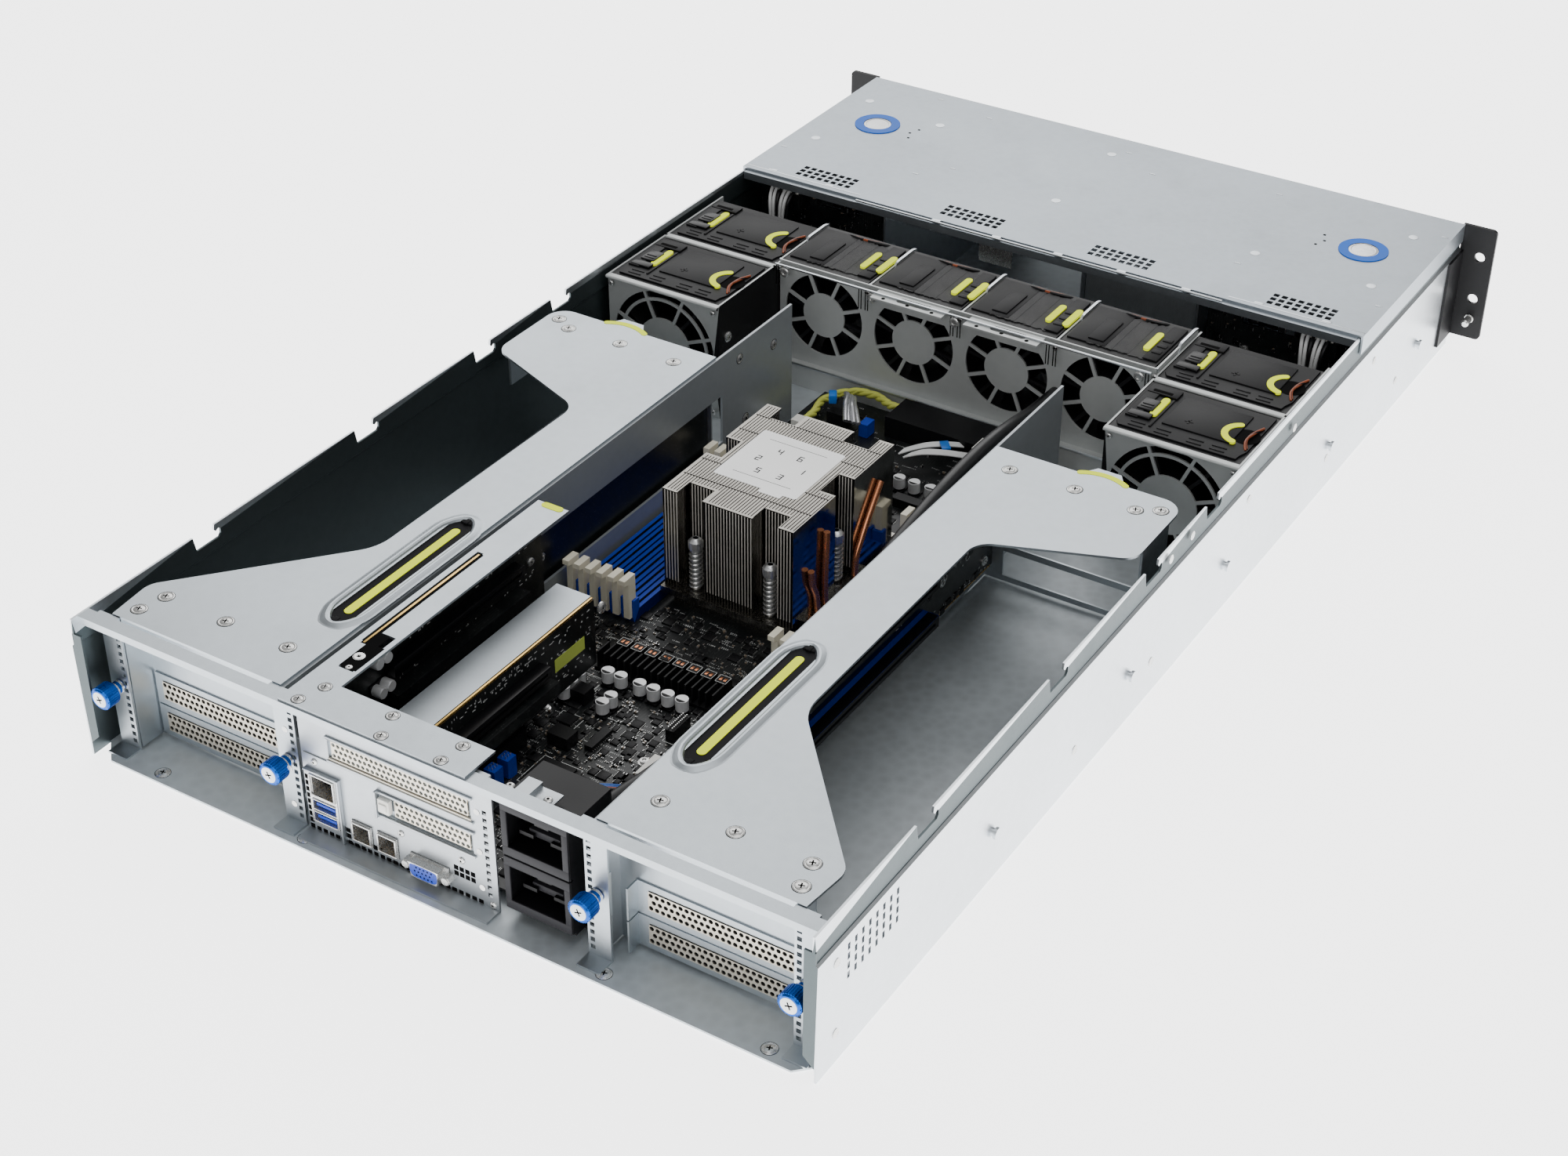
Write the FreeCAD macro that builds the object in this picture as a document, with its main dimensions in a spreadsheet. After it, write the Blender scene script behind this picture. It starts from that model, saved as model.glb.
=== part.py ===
import FreeCAD, Part
import math
import os
from collections import namedtuple

import Sketcher

# Driving dimensions in millimetres.
# X runs across the chassis, Y from the front panel to the rear, Z up from the underside.
dimensions = {
    # Chassis shell
    "bodyWidth": 440.0,
    "bodyDepth": 800.0,
    "bodyHeight": 87.5,
    "sheet": 1.2,
    "wallTop": 86.0,
    "joggleHeight": 69.0,
    "joggleStep": 1.6,
    "slideGap": 0.4,
    "runningGap": 0.3,
    "cornerBevel": 12.0,
    "wallFlange": 6.0,
    "flangeBottom": 8.0,
    "flangeTop": 77.0,
    # J-shaped hooks in the top edge of each side wall
    "notchLength": 17.0,
    "notchDepth": 9.0,
    "notchLip": 4.0,
    "notchSet1": 89.0,
    "notchSet2": 219.0,
    "notchSet3": 327.0,
    "notchSet4": 403.0,
    # Air slots and rail studs in each side wall
    "sideSlotLength": 4.0,
    "sideSlotWidth": 2.2,
    "sideSlotPitchY": 6.1,
    "sideSlotPitchZ": 5.6,
    "sideSlotColumns": 8,
    "sideSlotRows": 5,
    "sideSlotBottom": 45.2,
    "sideSlotSet": 69.0,
    "studRadius": 3.2,
    "studNeckRadius": 2.2,
    "studReach": 3.0,
    "studNeck": 1.4,
    "studHeight": 30.5,
    "studSet1": 162.0,
    "studSet2": 312.0,
    "studSet3": 434.0,
    "studSet4": 586.0,
    "studSet5": 734.0,
    # Rack ears
    "earSpan": 482.6,
    "earThick": 2.4,
    "earBottom": 8.5,
    "earHeight": 79.0,
    "earWrap": 24.0,
    "earWrapThick": 1.6,
    "rackHoleSpan": 465.1,
    "rackHoleRise": 30.0,
    "rackHoleLow": 36.7,
    "rackHoleRadius": 3.4,
    "earScrewHeight": 22.2,
    "earScrewRadius": 2.5,
    "earScrewHead": 5.5,
    "earScrewHeadLength": 10.0,
    "earScrewTail": 9.0,
    "earScrewCollar": 3.0,
    # Front lid and its two push buttons
    "lidDepth": 182.0,
    "lidSkirt": 11.0,
    "lidStep": 1.6,
    "lidStepDepth": 4.0,
    "lidLip": 5.0,
    "ventHole": 3.7,
    "ventPitch": 5.4,
    "ventColumns": 8,
    "ventRows": 4,
    "ventSet": 9.0,
    "ventOuterLeft": 163.5,
    "ventInnerLeft": 53.3,
    "ventInnerRight": 53.0,
    "ventOuterRight": 174.4,
    "buttonX": 178.0,
    "buttonSet": 71.0,
    "buttonRadius": 9.3,
    "buttonHeight": 4.0,
    "buttonStem": 5.0,
    "bezelRadius": 15.8,
    "bezelThick": 0.6,
    "bezelWall": 1.2,
    "bezelDepth": 9.5,
    # Front frame, drive carriers and power supplies
    "frontThick": 1.6,
    "bayWidth": 105.0,
    "bayHeight": 27.0,
    "bayFloor": 1.9,
    "bayGap": 1.2,
    "supplyEdge": -110.0,
    "supplyBay": 76.8,
    "carrierGap": 0.4,
    "carrierDepth": 150.0,
    "shelfEnd": 156.0,
    "bezelPlate": 5.0,
    "driveHeight": 24.0,
    "leverThick": 4.0,
    "leverHeight": 9.0,
    "leverPin": 1.5,
    "leverEdge": 3.0,
    "supplyHeight": 40.0,
    "supplyDepth": 170.0,
    "supplyHandle": 14.0,
    "supplyBar": 3.0,
    "gridHole": 5.0,
    "gridPitch": 11.0,
    "powerButtonRadius": 4.0,
    "powerButtonReach": 1.2,
    "powerButtonX": -22.0,
    "powerButtonZ": 70.0,
    "gridStart": -8.0,
    "gridRows": 5,
    "gridColumns": 9,
    # Middle fan wall with four fans
    "fanWallSet": 526.0,
    "fanPitch": 65.0,
    "fanCount": 4,
    "fanHeight": 53.0,
    "fanAperture": 28.0,
    "fanHub": 15.0,
    "spokeWidth": 2.2,
    "fanWallTop": 84.0,
    "ledgeHeight": 16.0,
    "ledgeDepth": 7.0,
    "moduleWidth": 61.6,
    "moduleHeight": 62.0,
    "moduleDepth": 54.0,
    "bladeCount": 7,
    "bladeThick": 1.6,
    "tipGap": 1.8,
    "seatDepth": 3.0,
    "rotorSet": 8.0,
    "dividerReach": 3.0,
    "gripSlotDepth": 1.5,
    # Two double fans at the sides
    "sideFanInner": 131.0,
    "sideFanOuter": 214.0,
    "sideFanTop": 81.0,
    "sideFanSet": 457.0,
    "sideFanPitch": 65.0,
    "sideFanAperture": 37.5,
    "sideFanRing": 31.0,
    "sideFanHub": 19.0,
    "ringWidth": 2.0,
    "hemRadius": 1.1,
    "sideModuleDepth": 58.0,
    "sideModuleWidth": 80.0,
    "sideModuleHeight": 79.0,
    # Card cages at both sides of the rear
    "cageInner": 93.5,
    "cageWebThick": 1.6,
    "cageTop": 85.5,
    "cageThick": 1.4,
    "cageRearSet": 15.5,
    "cageLength": 381.5,
    "cageWebLength": 463.5,
    "cageFloorGap": 3.0,
    "armWidth": 36.5,
    "gripInner": 99.5,
    "gripWidth": 14.0,
    "gripLength": 111.0,
    "gripSet": 53.5,
    "gripDepth": 3.0,
    "slotFrameSet": 16.0,
    "slotInner": 107.0,
    "slotOuter": 196.0,
    "slotLowBottom": 4.6,
    "slotLowTop": 21.0,
    "slotHighBottom": 24.9,
    "slotHighTop": 41.3,
    "coverThick": 1.0,
    "riserBoardLength": 330.0,
    "riserBoardSet": 45.0,
    "riserBoardLow": 12.0,
    "riserBoardTop": 78.0,
    "boardThick": 1.6,
    # Rear frame, posts and thumbscrews
    "ioSet": 14.0,
    "barSet": 4.0,
    "barDepth": 8.0,
    "outerPostX": 206.0,
    "innerPostX": 93.0,
    "postWidth": 13.0,
    "footLength": 10.0,
    "squareHole": 2.6,
    "squarePitch": 4.6,
    "screwHeight": 41.0,
    "screwRadius": 2.0,
    "screwShank": 3.4,
    "screwGap": 0.5,
    "knobRadius": 6.2,
    "knobLength": 9.0,
    "knobSet": 6.0,
    "knobGrooves": 10,
    # Rear connector panel
    "panelLeft": 84.0,
    "panelRight": -34.0,
    "panelHole": 2.0,
    "panelHolePitch": 3.6,
    "panelHoleCount": 28,
    "portDepth": 20.0,
    "mouthDepth": 12.0,
    "inletWidth": 39.0,
    "inletHeight": 32.0,
    "inletBottom": 8.6,
    "inletPitch": 33.0,
    "inletDepth": 34.0,
    "inletX": -58.5,
    "socketWidth": 33.0,
    "socketHeight": 22.0,
    "socketDepth": 22.0,
    # Main board
    "boardLength": 490.0,
    "boardHalf": 88.5,
    "boardRearSet": 24.0,
    "boardHeight": 5.0,
    "standoffRadius": 3.0,
    "capRadius": 3.6,
    "capHeight": 9.0,
    # Memory sockets
    "socketPitch": 7.6,
    "socketFirst": 48.2,
    "socketThick": 6.4,
    "socketLength": 138.0,
    "socketRise": 14.0,
    "socketCentre": 91.0,
    "socketCount": 6,
    "latchRise": 30.0,
    "latchDepth": 6.0,
    # Processor cooler
    "coolerX": 1.9,
    "coolerY": 78.0,
    "finLength": 107.0,
    "finBottom": 18.0,
    "finTop": 80.0,
    "finThick": 0.5,
    "finPitch": 1.9,
    "finCount": 45,
    "notchX": 24.3,
    "notchWidth": 16.6,
    "notchDeep": 12.5,
    "sideNotch": 20.0,
    "sideNotchDeep": 10.0,
    "basePlateThick": 4.0,
    "basePlateWidth": 84.1,
    "basePlateLength": 116.0,
    "springRadius": 4.2,
    "springWall": 1.0,
    "springTop": 44.0,
    "coolerScrewHead": 7.0,
    "pipeRadius": 1.9,
    # Riser bracket over the middle slots
    "bracketRight": -27.0,
    "bracketLeft": 86.0,
    "bracketRearLeg": 23.0,
    "bracketArm": 20.0,
    "bracketArmSet": 213.0,
    "bracketThick": 1.4,
    "lowPlateHeight": 60.0,
}

doc = FreeCAD.newDocument("RackServer")
sheet = doc.addObject("Spreadsheet::Sheet", "Dim")
for row, (alias, number) in enumerate(dimensions.items(), 1):
    sheet.set("A%d" % row, alias)
    sheet.set("B%d" % row, str(number))
    sheet.setAlias("B%d" % row, alias)
doc.recompute()


class Size:
    """A length that keeps both its value and the sheet formula behind it."""

    def __init__(self, value, formula):
        self.value = value
        self.formula = formula

    def __neg__(self):
        return Size(-self.value, "(-%s)" % self.formula)

    def __add__(self, other):
        other = asSize(other)
        return Size(self.value + other.value, "(%s + %s)" % (self.formula, other.formula))

    def __radd__(self, other):
        return asSize(other) + self

    def __sub__(self, other):
        other = asSize(other)
        return Size(self.value - other.value, "(%s - %s)" % (self.formula, other.formula))

    def __rsub__(self, other):
        return asSize(other) - self

    def __mul__(self, other):
        other = asSize(other)
        return Size(self.value * other.value, "(%s * %s)" % (self.formula, other.formula))

    def __rmul__(self, other):
        return asSize(other) * self

    def __truediv__(self, other):
        other = asSize(other)
        return Size(self.value / other.value, "(%s / %s)" % (self.formula, other.formula))


class Lengths:
    """Gives each cell of the sheet as a Size, by its alias."""

    def __getattr__(self, alias):
        return Size(dimensions[alias], "Dim." + alias)


def asSize(number):
    """A plain number as a Size; a Size comes back as it is."""
    if isinstance(number, Size):
        return number
    return Size(number, "(%s)" % repr(number))


d = Lengths()
Round = namedtuple("Round", "across up radius")
planes = {"x": ("YZ_Plane", 1), "y": ("XZ_Plane", -1), "z": ("XY_Plane", 1)}
turns = {
    "x": FreeCAD.Rotation(FreeCAD.Vector(0, 1, 0), 90),
    "y": FreeCAD.Rotation(FreeCAD.Vector(1, 0, 0), -90),
    "z": FreeCAD.Rotation(),
}
nodes = {}


def sided(side, low, high):
    """A low and a high X, measured outward from the middle, on one side of the chassis."""
    if side > 0:
        return (asSize(low), asSize(high))
    return (-asSize(high), -asSize(low))


# Places that several pieces share
front = -d.bodyDepth / 2
rear = d.bodyDepth / 2
half = d.bodyWidth / 2
inside = half - d.sheet
frameHalf = inside - d.joggleStep
lidRear = front + d.lidDepth
buttonY = front + d.buttonSet
collarRadius = d.buttonRadius + d.runningGap + d.bezelWall
bayOuter = inside - d.bayGap
bayInner = bayOuter - d.bayWidth
bayLevels = [
    (d.bayFloor, d.bayFloor + d.bayHeight),
    (d.bayFloor + d.bayHeight + d.bayGap, d.bayFloor + 2 * d.bayHeight + d.bayGap)]
supplyLeft = d.supplyEdge
supplyRight = supplyLeft + d.supplyBay
supplyBayHeight = d.supplyHeight + 2 * d.carrierGap
supplyLevels = [
    (d.bayFloor, d.bayFloor + supplyBayHeight),
    (d.bayFloor + supplyBayHeight + d.bayGap, d.bayFloor + 2 * supplyBayHeight + d.bayGap)]
leverPivot = bayOuter - d.leverEdge
leverPinY = front - d.bezelPlate / 2 - d.runningGap
wallRear = rear - d.fanWallSet
sideRear = rear - d.sideFanSet
sideMiddle = (d.sideFanInner + d.sideFanOuter) / 2
sideFanHeight = d.sheet + d.slideGap + d.sideModuleHeight / 2
cageRear = rear - d.cageRearSet
cageFront = cageRear - d.cageLength
cageLow = d.cageTop - d.cageThick
gripEnd = cageRear - d.gripSet
gripStart = gripEnd - d.gripLength
slotLevels = [(d.slotLowBottom, d.slotLowTop), (d.slotHighBottom, d.slotHighTop)]
panelFace = rear - d.ioSet
panelBack = panelFace - d.sheet
boardRear = rear - d.boardRearSet
boardFront = boardRear - d.boardLength
boardTop = d.boardHeight + d.boardThick
finWidth = d.finPitch * (d.finCount - 1) + d.finThick
bracketEnd = rear - d.bracketArmSet


# Building blocks
def bind(feature, target, length):
    """Ties one property of a feature to the sheet."""
    feature.setExpression(target, asSize(length).formula)


def box(name, x, y, z):
    """A block between two values on each axis."""
    block = doc.addObject("Part::Box", name)
    for (low, high), side, axis in ((x, "Length", "x"), (y, "Width", "y"), (z, "Height", "z")):
        bind(block, side, asSize(high) - low)
        bind(block, "Placement.Base." + axis, low)
    return block


def rod(name, centre, radius, low, high, axis="z"):
    """A round bar between two values on its axis; centre holds the other two coordinates."""
    bar = doc.addObject("Part::Cylinder", name)
    bar.Placement.Rotation = turns[axis]
    bind(bar, "Radius", radius)
    bind(bar, "Height", asSize(high) - low)
    others = [word for word in "xyz" if word != axis]
    for word, value in zip(others + [axis], list(centre) + [low]):
        bind(bar, "Placement.Base." + word, value)
    return bar


def union(name, *solids):
    """One solid from several that meet."""
    joined = doc.addObject("Part::MultiFuse", name)
    joined.Shapes = list(solids)
    joined.Refine = True
    return joined


def without(name, base, *tools):
    """The base with the tools taken out of it."""
    result = doc.addObject("Part::Cut", name)
    result.Base = base
    result.Tool = tools[0] if len(tools) == 1 else group(name + "_tools", *tools)
    result.Refine = True
    return result


def group(name, *solids):
    """Separate solids kept together."""
    together = doc.addObject("Part::Compound", name)
    together.Links = list(solids)
    return together


def keep(name, feature):
    """Names a finished sub-part after its file."""
    feature.Label = name
    nodes[name] = feature
    return feature


def rectangle(across, up):
    """Four corners from a low and a high value each way."""
    return [(across[0], up[0]), (across[1], up[0]), (across[1], up[1]), (across[0], up[1])]


def centred(across, up, width, height):
    """A rectangle about its middle."""
    return rectangle((across - width / 2, across + width / 2), (up - height / 2, up + height / 2))


def drawPolygon(sketch, corners):
    """A closed outline whose every corner is tied to the sheet."""
    corners = [(asSize(across), asSize(up)) for across, up in corners]
    first = sketch.GeometryCount
    count = len(corners)
    places = [FreeCAD.Vector(across.value, up.value, 0) for across, up in corners]
    sketch.addGeometry([Part.LineSegment(places[index - 1], places[index]) for index in range(count)])
    joins, measures = [], []
    for index, (across, up) in enumerate(corners):
        line = first + index
        joins.append(Sketcher.Constraint("Coincident", line, 2, first + (index + 1) % count, 1))
        measures.append((("DistanceX", -1, 1, line, 2), across))
        measures.append((("DistanceY", -1, 1, line, 2), up))
    tie(sketch, joins, measures)


def drawRound(sketch, outline):
    """A circle whose centre and radius are tied to the sheet."""
    across, up, radius = [asSize(value) for value in outline]
    place = FreeCAD.Vector(across.value, up.value, 0)
    ring = sketch.addGeometry(Part.Circle(place, FreeCAD.Vector(0, 0, 1), radius.value))
    tie(sketch, [], [(("DistanceX", -1, 1, ring, 3), across), (("DistanceY", -1, 1, ring, 3), up),
                     (("Radius", ring), radius)])


def tie(sketch, joins, measures):
    """Adds an outline's constraints; each measured one gets a name and its formula."""
    start = sketch.ConstraintCount + len(joins)
    made = []
    for index, (parts, length) in enumerate(measures):
        constraint = Sketcher.Constraint(*parts, length.value)
        constraint.Name = "size%d" % (start + index)
        made.append(constraint)
    sketch.addConstraint(joins + made)
    for constraint, (parts, length) in zip(made, measures):
        sketch.setExpression("Constraints." + constraint.Name, length.formula)


class Piece:
    """A body built from sketches that lie on its own planes."""

    def __init__(self, name):
        self.body = doc.addObject("PartDesign::Body", name)
        self.body.AllowCompound = True

    def place(self, x, y, z):
        for axis, value in zip("xyz", (x, y, z)):
            bind(self.body, "Placement.Base." + axis, value)
        return self.body

    def sketch(self, axis, start, outlines):
        role, way = planes[axis]
        plane = next(item for item in self.body.Origin.OriginFeatures if item.Role == role)
        sketch = self.body.newObject("Sketcher::SketchObject", "outline")
        sketch.AttachmentSupport = (plane, [""])
        sketch.MapMode = "FlatFace"
        bind(sketch, "AttachmentOffset.Base.z", asSize(start) * way)
        for outline in outlines:
            if isinstance(outline, Round):
                drawRound(sketch, outline)
            else:
                drawPolygon(sketch, outline)
        return sketch

    def extrude(self, kind, axis, low, high, outlines):
        feature = self.body.newObject("PartDesign::" + kind, kind.lower())
        feature.Profile = self.sketch(axis, low if planes[axis][1] > 0 else high, outlines)
        bind(feature, "Length", asSize(high) - low)
        feature.Reversed = kind == "Pocket"
        feature.Refine = True
        return feature

    def add(self, axis, low, high, *outlines):
        return self.extrude("Pad", axis, low, high, outlines)

    def cut(self, axis, low, high, *outlines):
        return self.extrude("Pocket", axis, low, high, outlines)

    def spin(self, outline):
        """Turns an outline of (radius, y) about the body's own Y axis."""
        feature = self.body.newObject("PartDesign::Revolution", "revolution")
        feature.Profile = self.sketch("z", 0, [outline])
        feature.ReferenceAxis = (feature.Profile[0], ["V_Axis"])
        feature.Angle = 360
        return feature

    def grid(self, features, acrossPitch, acrossCount, upPitch=None, upCount=1):
        """Repeats features along the first one's sketch, from its lowest place."""
        sketch = features[0].Profile[0]
        pattern = self.body.newObject("PartDesign::LinearPattern", "pattern")
        pattern.Originals = features
        pattern.Direction = (sketch, ["H_Axis"])
        pattern.Mode = "Spacing"
        bind(pattern, "Offset", acrossPitch)
        bind(pattern, "Occurrences", acrossCount)
        if upPitch is not None:
            pattern.Direction2 = (sketch, ["V_Axis"])
            pattern.Mode2 = "Spacing"
            bind(pattern, "Offset2", upPitch)
            bind(pattern, "Occurrences2", upCount)
        self.body.Tip = pattern
        return pattern

    def around(self, feature, count):
        """Repeats a feature about the body's own Y axis."""
        pattern = self.body.newObject("PartDesign::PolarPattern", "turned")
        pattern.Originals = [feature]
        plane = next(item for item in self.body.Origin.OriginFeatures if item.Role == "Y_Axis")
        pattern.Axis = (plane, [""])
        pattern.Angle = 360
        bind(pattern, "Occurrences", count)
        self.body.Tip = pattern
        return pattern

    def soften(self, radius, axis, *corners):
        """Rounds the edges that run along one axis through the given corners."""
        doc.recompute()
        tip = self.body.Tip
        names = [edgeAt(tip.Shape, axis, across, up) for across, up in corners]
        fillet = self.body.newObject("PartDesign::Fillet", "fillet")
        fillet.Base = (tip, [name for name in names if name])
        bind(fillet, "Radius", radius)
        return fillet


def edgeAt(shape, axis, across, up):
    """The name of the edge along an axis that passes through (across, up)."""
    wanted = (asSize(across).value, asSize(up).value)
    near = 0.02
    others = [word for word in "xyz" if word != axis]
    for index, edge in enumerate(shape.Edges, 1):
        ends = [[getattr(vertex.Point, word) for word in others] for vertex in edge.Vertexes]
        if len(ends) == 2 and all(math.dist(end, wanted) < near for end in ends):
            return "Edge%d" % index
    raise ValueError("no edge along %s at %s" % (axis, wanted))


def turnedBar(centre, length, width, angle):
    """The corners of a bar that lies at an angle across its centre."""
    cosine, sine = math.cos(math.radians(angle)), math.sin(math.radians(angle))
    corners = []
    for along, beside in ((-1, -1), (1, -1), (1, 1), (-1, 1)):
        reach, side = length * along / 2, width * beside / 2
        corners.append((centre[0] + reach * cosine - side * sine,
                        centre[1] + reach * sine + side * cosine))
    return corners


def tube(name, points, radius):
    """A round tube along straight runs joined by tangent arcs, each as large as its runs allow."""
    places = [FreeCAD.Vector(*[asSize(value).value for value in point]) for point in points]
    edges = []
    last = places[0]
    length = 0
    for before, corner, after in zip(places, places[1:], places[2:]):
        back = (before - corner).normalize()
        ahead = (after - corner).normalize()
        turn = math.pi - back.getAngle(ahead)
        reach = 0.45 * min(before.distanceToPoint(corner), corner.distanceToPoint(after))
        bend = reach / math.tan(turn / 2)
        start = corner + back * reach
        end = corner + ahead * reach
        middle = corner + (back + ahead).normalize() * (bend / math.cos(turn / 2) - bend)
        edges.append(Part.LineSegment(last, start).toShape())
        edges.append(Part.Arc(start, middle, end).toShape())
        length += last.distanceToPoint(start) + bend * turn
        last = end
        print("%s bend radius %.1f mm" % (name, bend))
    edges.append(Part.LineSegment(last, places[-1]).toShape())
    length += last.distanceToPoint(places[-1])
    heading = (places[1] - places[0]).normalize()
    section = Part.Wire(Part.makeCircle(asSize(radius).value, places[0], heading))
    feature = doc.addObject("Part::Feature", name)
    feature.Shape = Part.Wire(edges).makePipeShell([section], True, False)
    wanted = math.pi * asSize(radius).value ** 2 * length
    print("%s volume over section times length %.4f" % (name, feature.Shape.Volume / wanted))
    return feature


# Chassis shell
def chassisPan():
    """The floor sheet with bevelled rear corners and the board's standoffs."""
    pan = Piece("floor")
    corner = d.cornerBevel
    pan.add("z", 0, d.sheet, [
        (-inside, front), (inside, front), (inside, rear - corner), (inside - corner, rear),
        (corner - inside, rear), (-inside, rear - corner)])
    pan.add("z", d.sheet, d.boardHeight, *[
        Round(x, y, d.standoffRadius)
        for x in (8 - d.boardHalf, d.boardHalf - 8)
        for y in (boardRear - 12, boardRear - 170, boardRear - 330, boardFront + 12)])
    return keep("chassis_pan", pan.body)


def wallProfile(side):
    """One side wall seen from the front: a joggle near the top lets a cover slide outside it."""
    top = inside - d.joggleStep
    shoulder = d.joggleHeight + d.joggleStep
    outline = [
        (inside, 0), (half, 0), (half, d.joggleHeight), (half - d.joggleStep, shoulder),
        (half - d.joggleStep, d.wallTop), (top, d.wallTop), (top, shoulder),
        (inside, d.joggleHeight)]
    return [(side * across, up) for across, up in outline]


def hookNotch(back):
    """A J-shaped notch in the wall's top edge, open at its rear end."""
    low = d.wallTop - d.notchDepth
    far = back - d.notchLength
    lip = d.notchLip
    return [
        (back + 2, d.wallTop + 1), (back, low), (far, low), (far - 1.5, low + 1.5),
        (far - 1.5, low + lip + 0.5), (far, low + lip + 1.5), (far + lip / 2, low + lip + 0.5),
        (far + lip - 0.6, low + lip + 2), (far + lip - 1.5, d.wallTop + 1)]


def sideWall(side):
    """A side wall with its rear flange, hook notches, air slots and rail studs."""
    wall = Piece("wall")
    wall.add("y", front, rear, wallProfile(side))
    outer = sided(side, inside - d.joggleStep - 1, half)
    wall.cut("x", *outer, *[
        hookNotch(rear - set) for set in (d.notchSet1, d.notchSet2, d.notchSet3, d.notchSet4)])
    slot = wall.cut("x", *outer, centred(
        rear - d.sideSlotSet, d.sideSlotBottom, d.sideSlotWidth, d.sideSlotLength))
    wall.grid([slot], d.sideSlotPitchY, d.sideSlotColumns, d.sideSlotPitchZ, d.sideSlotRows)
    places = [rear - set for set in (d.studSet1, d.studSet2, d.studSet3, d.studSet4, d.studSet5)]
    neck = sided(side, half, half + d.studNeck)
    head = sided(side, half + d.studNeck, half + d.studReach)
    wall.add("x", *neck, *[Round(y, d.studHeight, d.studNeckRadius) for y in places])
    wall.add("x", *head, *[Round(y, d.studHeight, d.studRadius) for y in places])
    flange = inside - d.wallFlange
    wall.add("y", rear - d.sheet, rear, [
        (side * inside, d.flangeBottom), (side * inside, d.flangeTop), (side * flange, d.flangeTop),
        (side * flange, d.flangeBottom + d.wallFlange)])
    return wall.body


def rackEar(side):
    """A mounting ear with two rack holes, wrapped round the wall's front end."""
    ear = Piece("ear")
    top = d.earBottom + d.earHeight
    low = front - d.earThick
    plate = sided(side, inside, d.earSpan / 2)
    ear.add("y", low, front, rectangle(plate, (d.earBottom, top)))
    ear.soften(3, "y", (side * d.earSpan / 2, d.earBottom), (side * d.earSpan / 2, top))
    wrap = sided(side, half, half + d.earWrapThick)
    ear.add("z", d.earBottom, d.joggleHeight, rectangle(wrap, (front, front + d.earWrap)))
    middle = side * d.rackHoleSpan / 2
    ear.cut("y", low, front, *[
        Round(middle, up, d.rackHoleRadius)
        for up in (d.rackHoleLow, d.rackHoleLow + d.rackHoleRise)],
        Round(middle, d.earScrewHeight, d.earScrewCollar + d.runningGap))
    return ear.body


def earScrew(side):
    """A captive rack screw: knurled head, collar and threaded tail."""
    screw = Piece("captive")
    head = -d.earThick - d.runningGap
    screw.spin([
        (0, head - d.earScrewHeadLength), (d.earScrewHead - 1, head - d.earScrewHeadLength),
        (d.earScrewHead, head - d.earScrewHeadLength + 1), (d.earScrewHead, head),
        (d.earScrewCollar, head), (d.earScrewCollar, d.runningGap), (d.earScrewRadius, d.runningGap),
        (d.earScrewRadius, d.earScrewTail - 1),
        (d.earScrewRadius - 1, d.earScrewTail), (0, d.earScrewTail)])
    return screw.place(side * d.rackHoleSpan / 2, front, d.earScrewHeight)


# Front lid
def frontLid():
    """The lid sheet: stepped rear edge, side skirts, four air grids and two button holes."""
    lid = Piece("cover")
    top = d.bodyHeight
    under = top - d.sheet
    end = lidRear - d.lidStepDepth
    start = front + d.slideGap
    lid.add("z", under, top, rectangle((-half, half), (start, end)))
    narrow = frameHalf - d.slideGap
    drop = top - d.lidStep
    lid.add("x", -narrow, narrow, [
        (end - d.sheet, under), (end, under), (end, drop), (lidRear, drop),
        (lidRear, drop - d.lidLip), (lidRear - d.sheet, drop - d.lidLip),
        (lidRear - d.sheet, drop - d.sheet), (end - d.sheet, drop - d.sheet)])
    for side in (1, -1):
        lid.add("z", under - d.lidSkirt, under, rectangle(sided(side, inside, half), (start, end)))
        lid.cut("z", under, top, Round(side * d.buttonX, buttonY, collarRadius))
    first = lidRear - d.ventSet - d.ventPitch * (d.ventRows - 1)
    left = d.ventPitch * (d.ventColumns - 1) / 2
    holes = lid.cut("z", under, top, *[
        centred(middle - left, first, d.ventHole, d.ventHole)
        for middle in (d.ventOuterLeft, d.ventInnerLeft, -d.ventInnerRight, -d.ventOuterRight)])
    lid.grid([holes], d.ventPitch, d.ventColumns, d.ventPitch, d.ventRows)
    return keep("front_lid", group("front_lid", lid.body, buttonBezel(1), buttonBezel(-1)))


def buttonBezel(side):
    """A ring let into the lid, with a collar that guides the button."""
    centre = (side * d.buttonX, buttonY)
    top = d.bodyHeight
    ring = rod("ring", centre, d.bezelRadius, top, top + d.bezelThick)
    collar = rod("collar", centre, collarRadius, top - d.bezelDepth, top)
    bore = rod("bore", centre, collarRadius - d.bezelWall, top - d.bezelDepth, top + d.bezelThick)
    return without("bezel", union("bezel_blank", ring, collar), bore)


def lidButton(name, side):
    """A round push button with a stem under its cap."""
    centre = (side * d.buttonX, buttonY)
    top = d.bodyHeight + d.bezelThick / 2
    cap = rod("cap", centre, d.buttonRadius, top - d.buttonHeight, top)
    stem = rod("stem", centre, d.buttonRadius / 2, top - d.buttonHeight - d.buttonStem, top - d.buttonHeight)
    return keep(name, union(name + "_solid", cap, stem))


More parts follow.
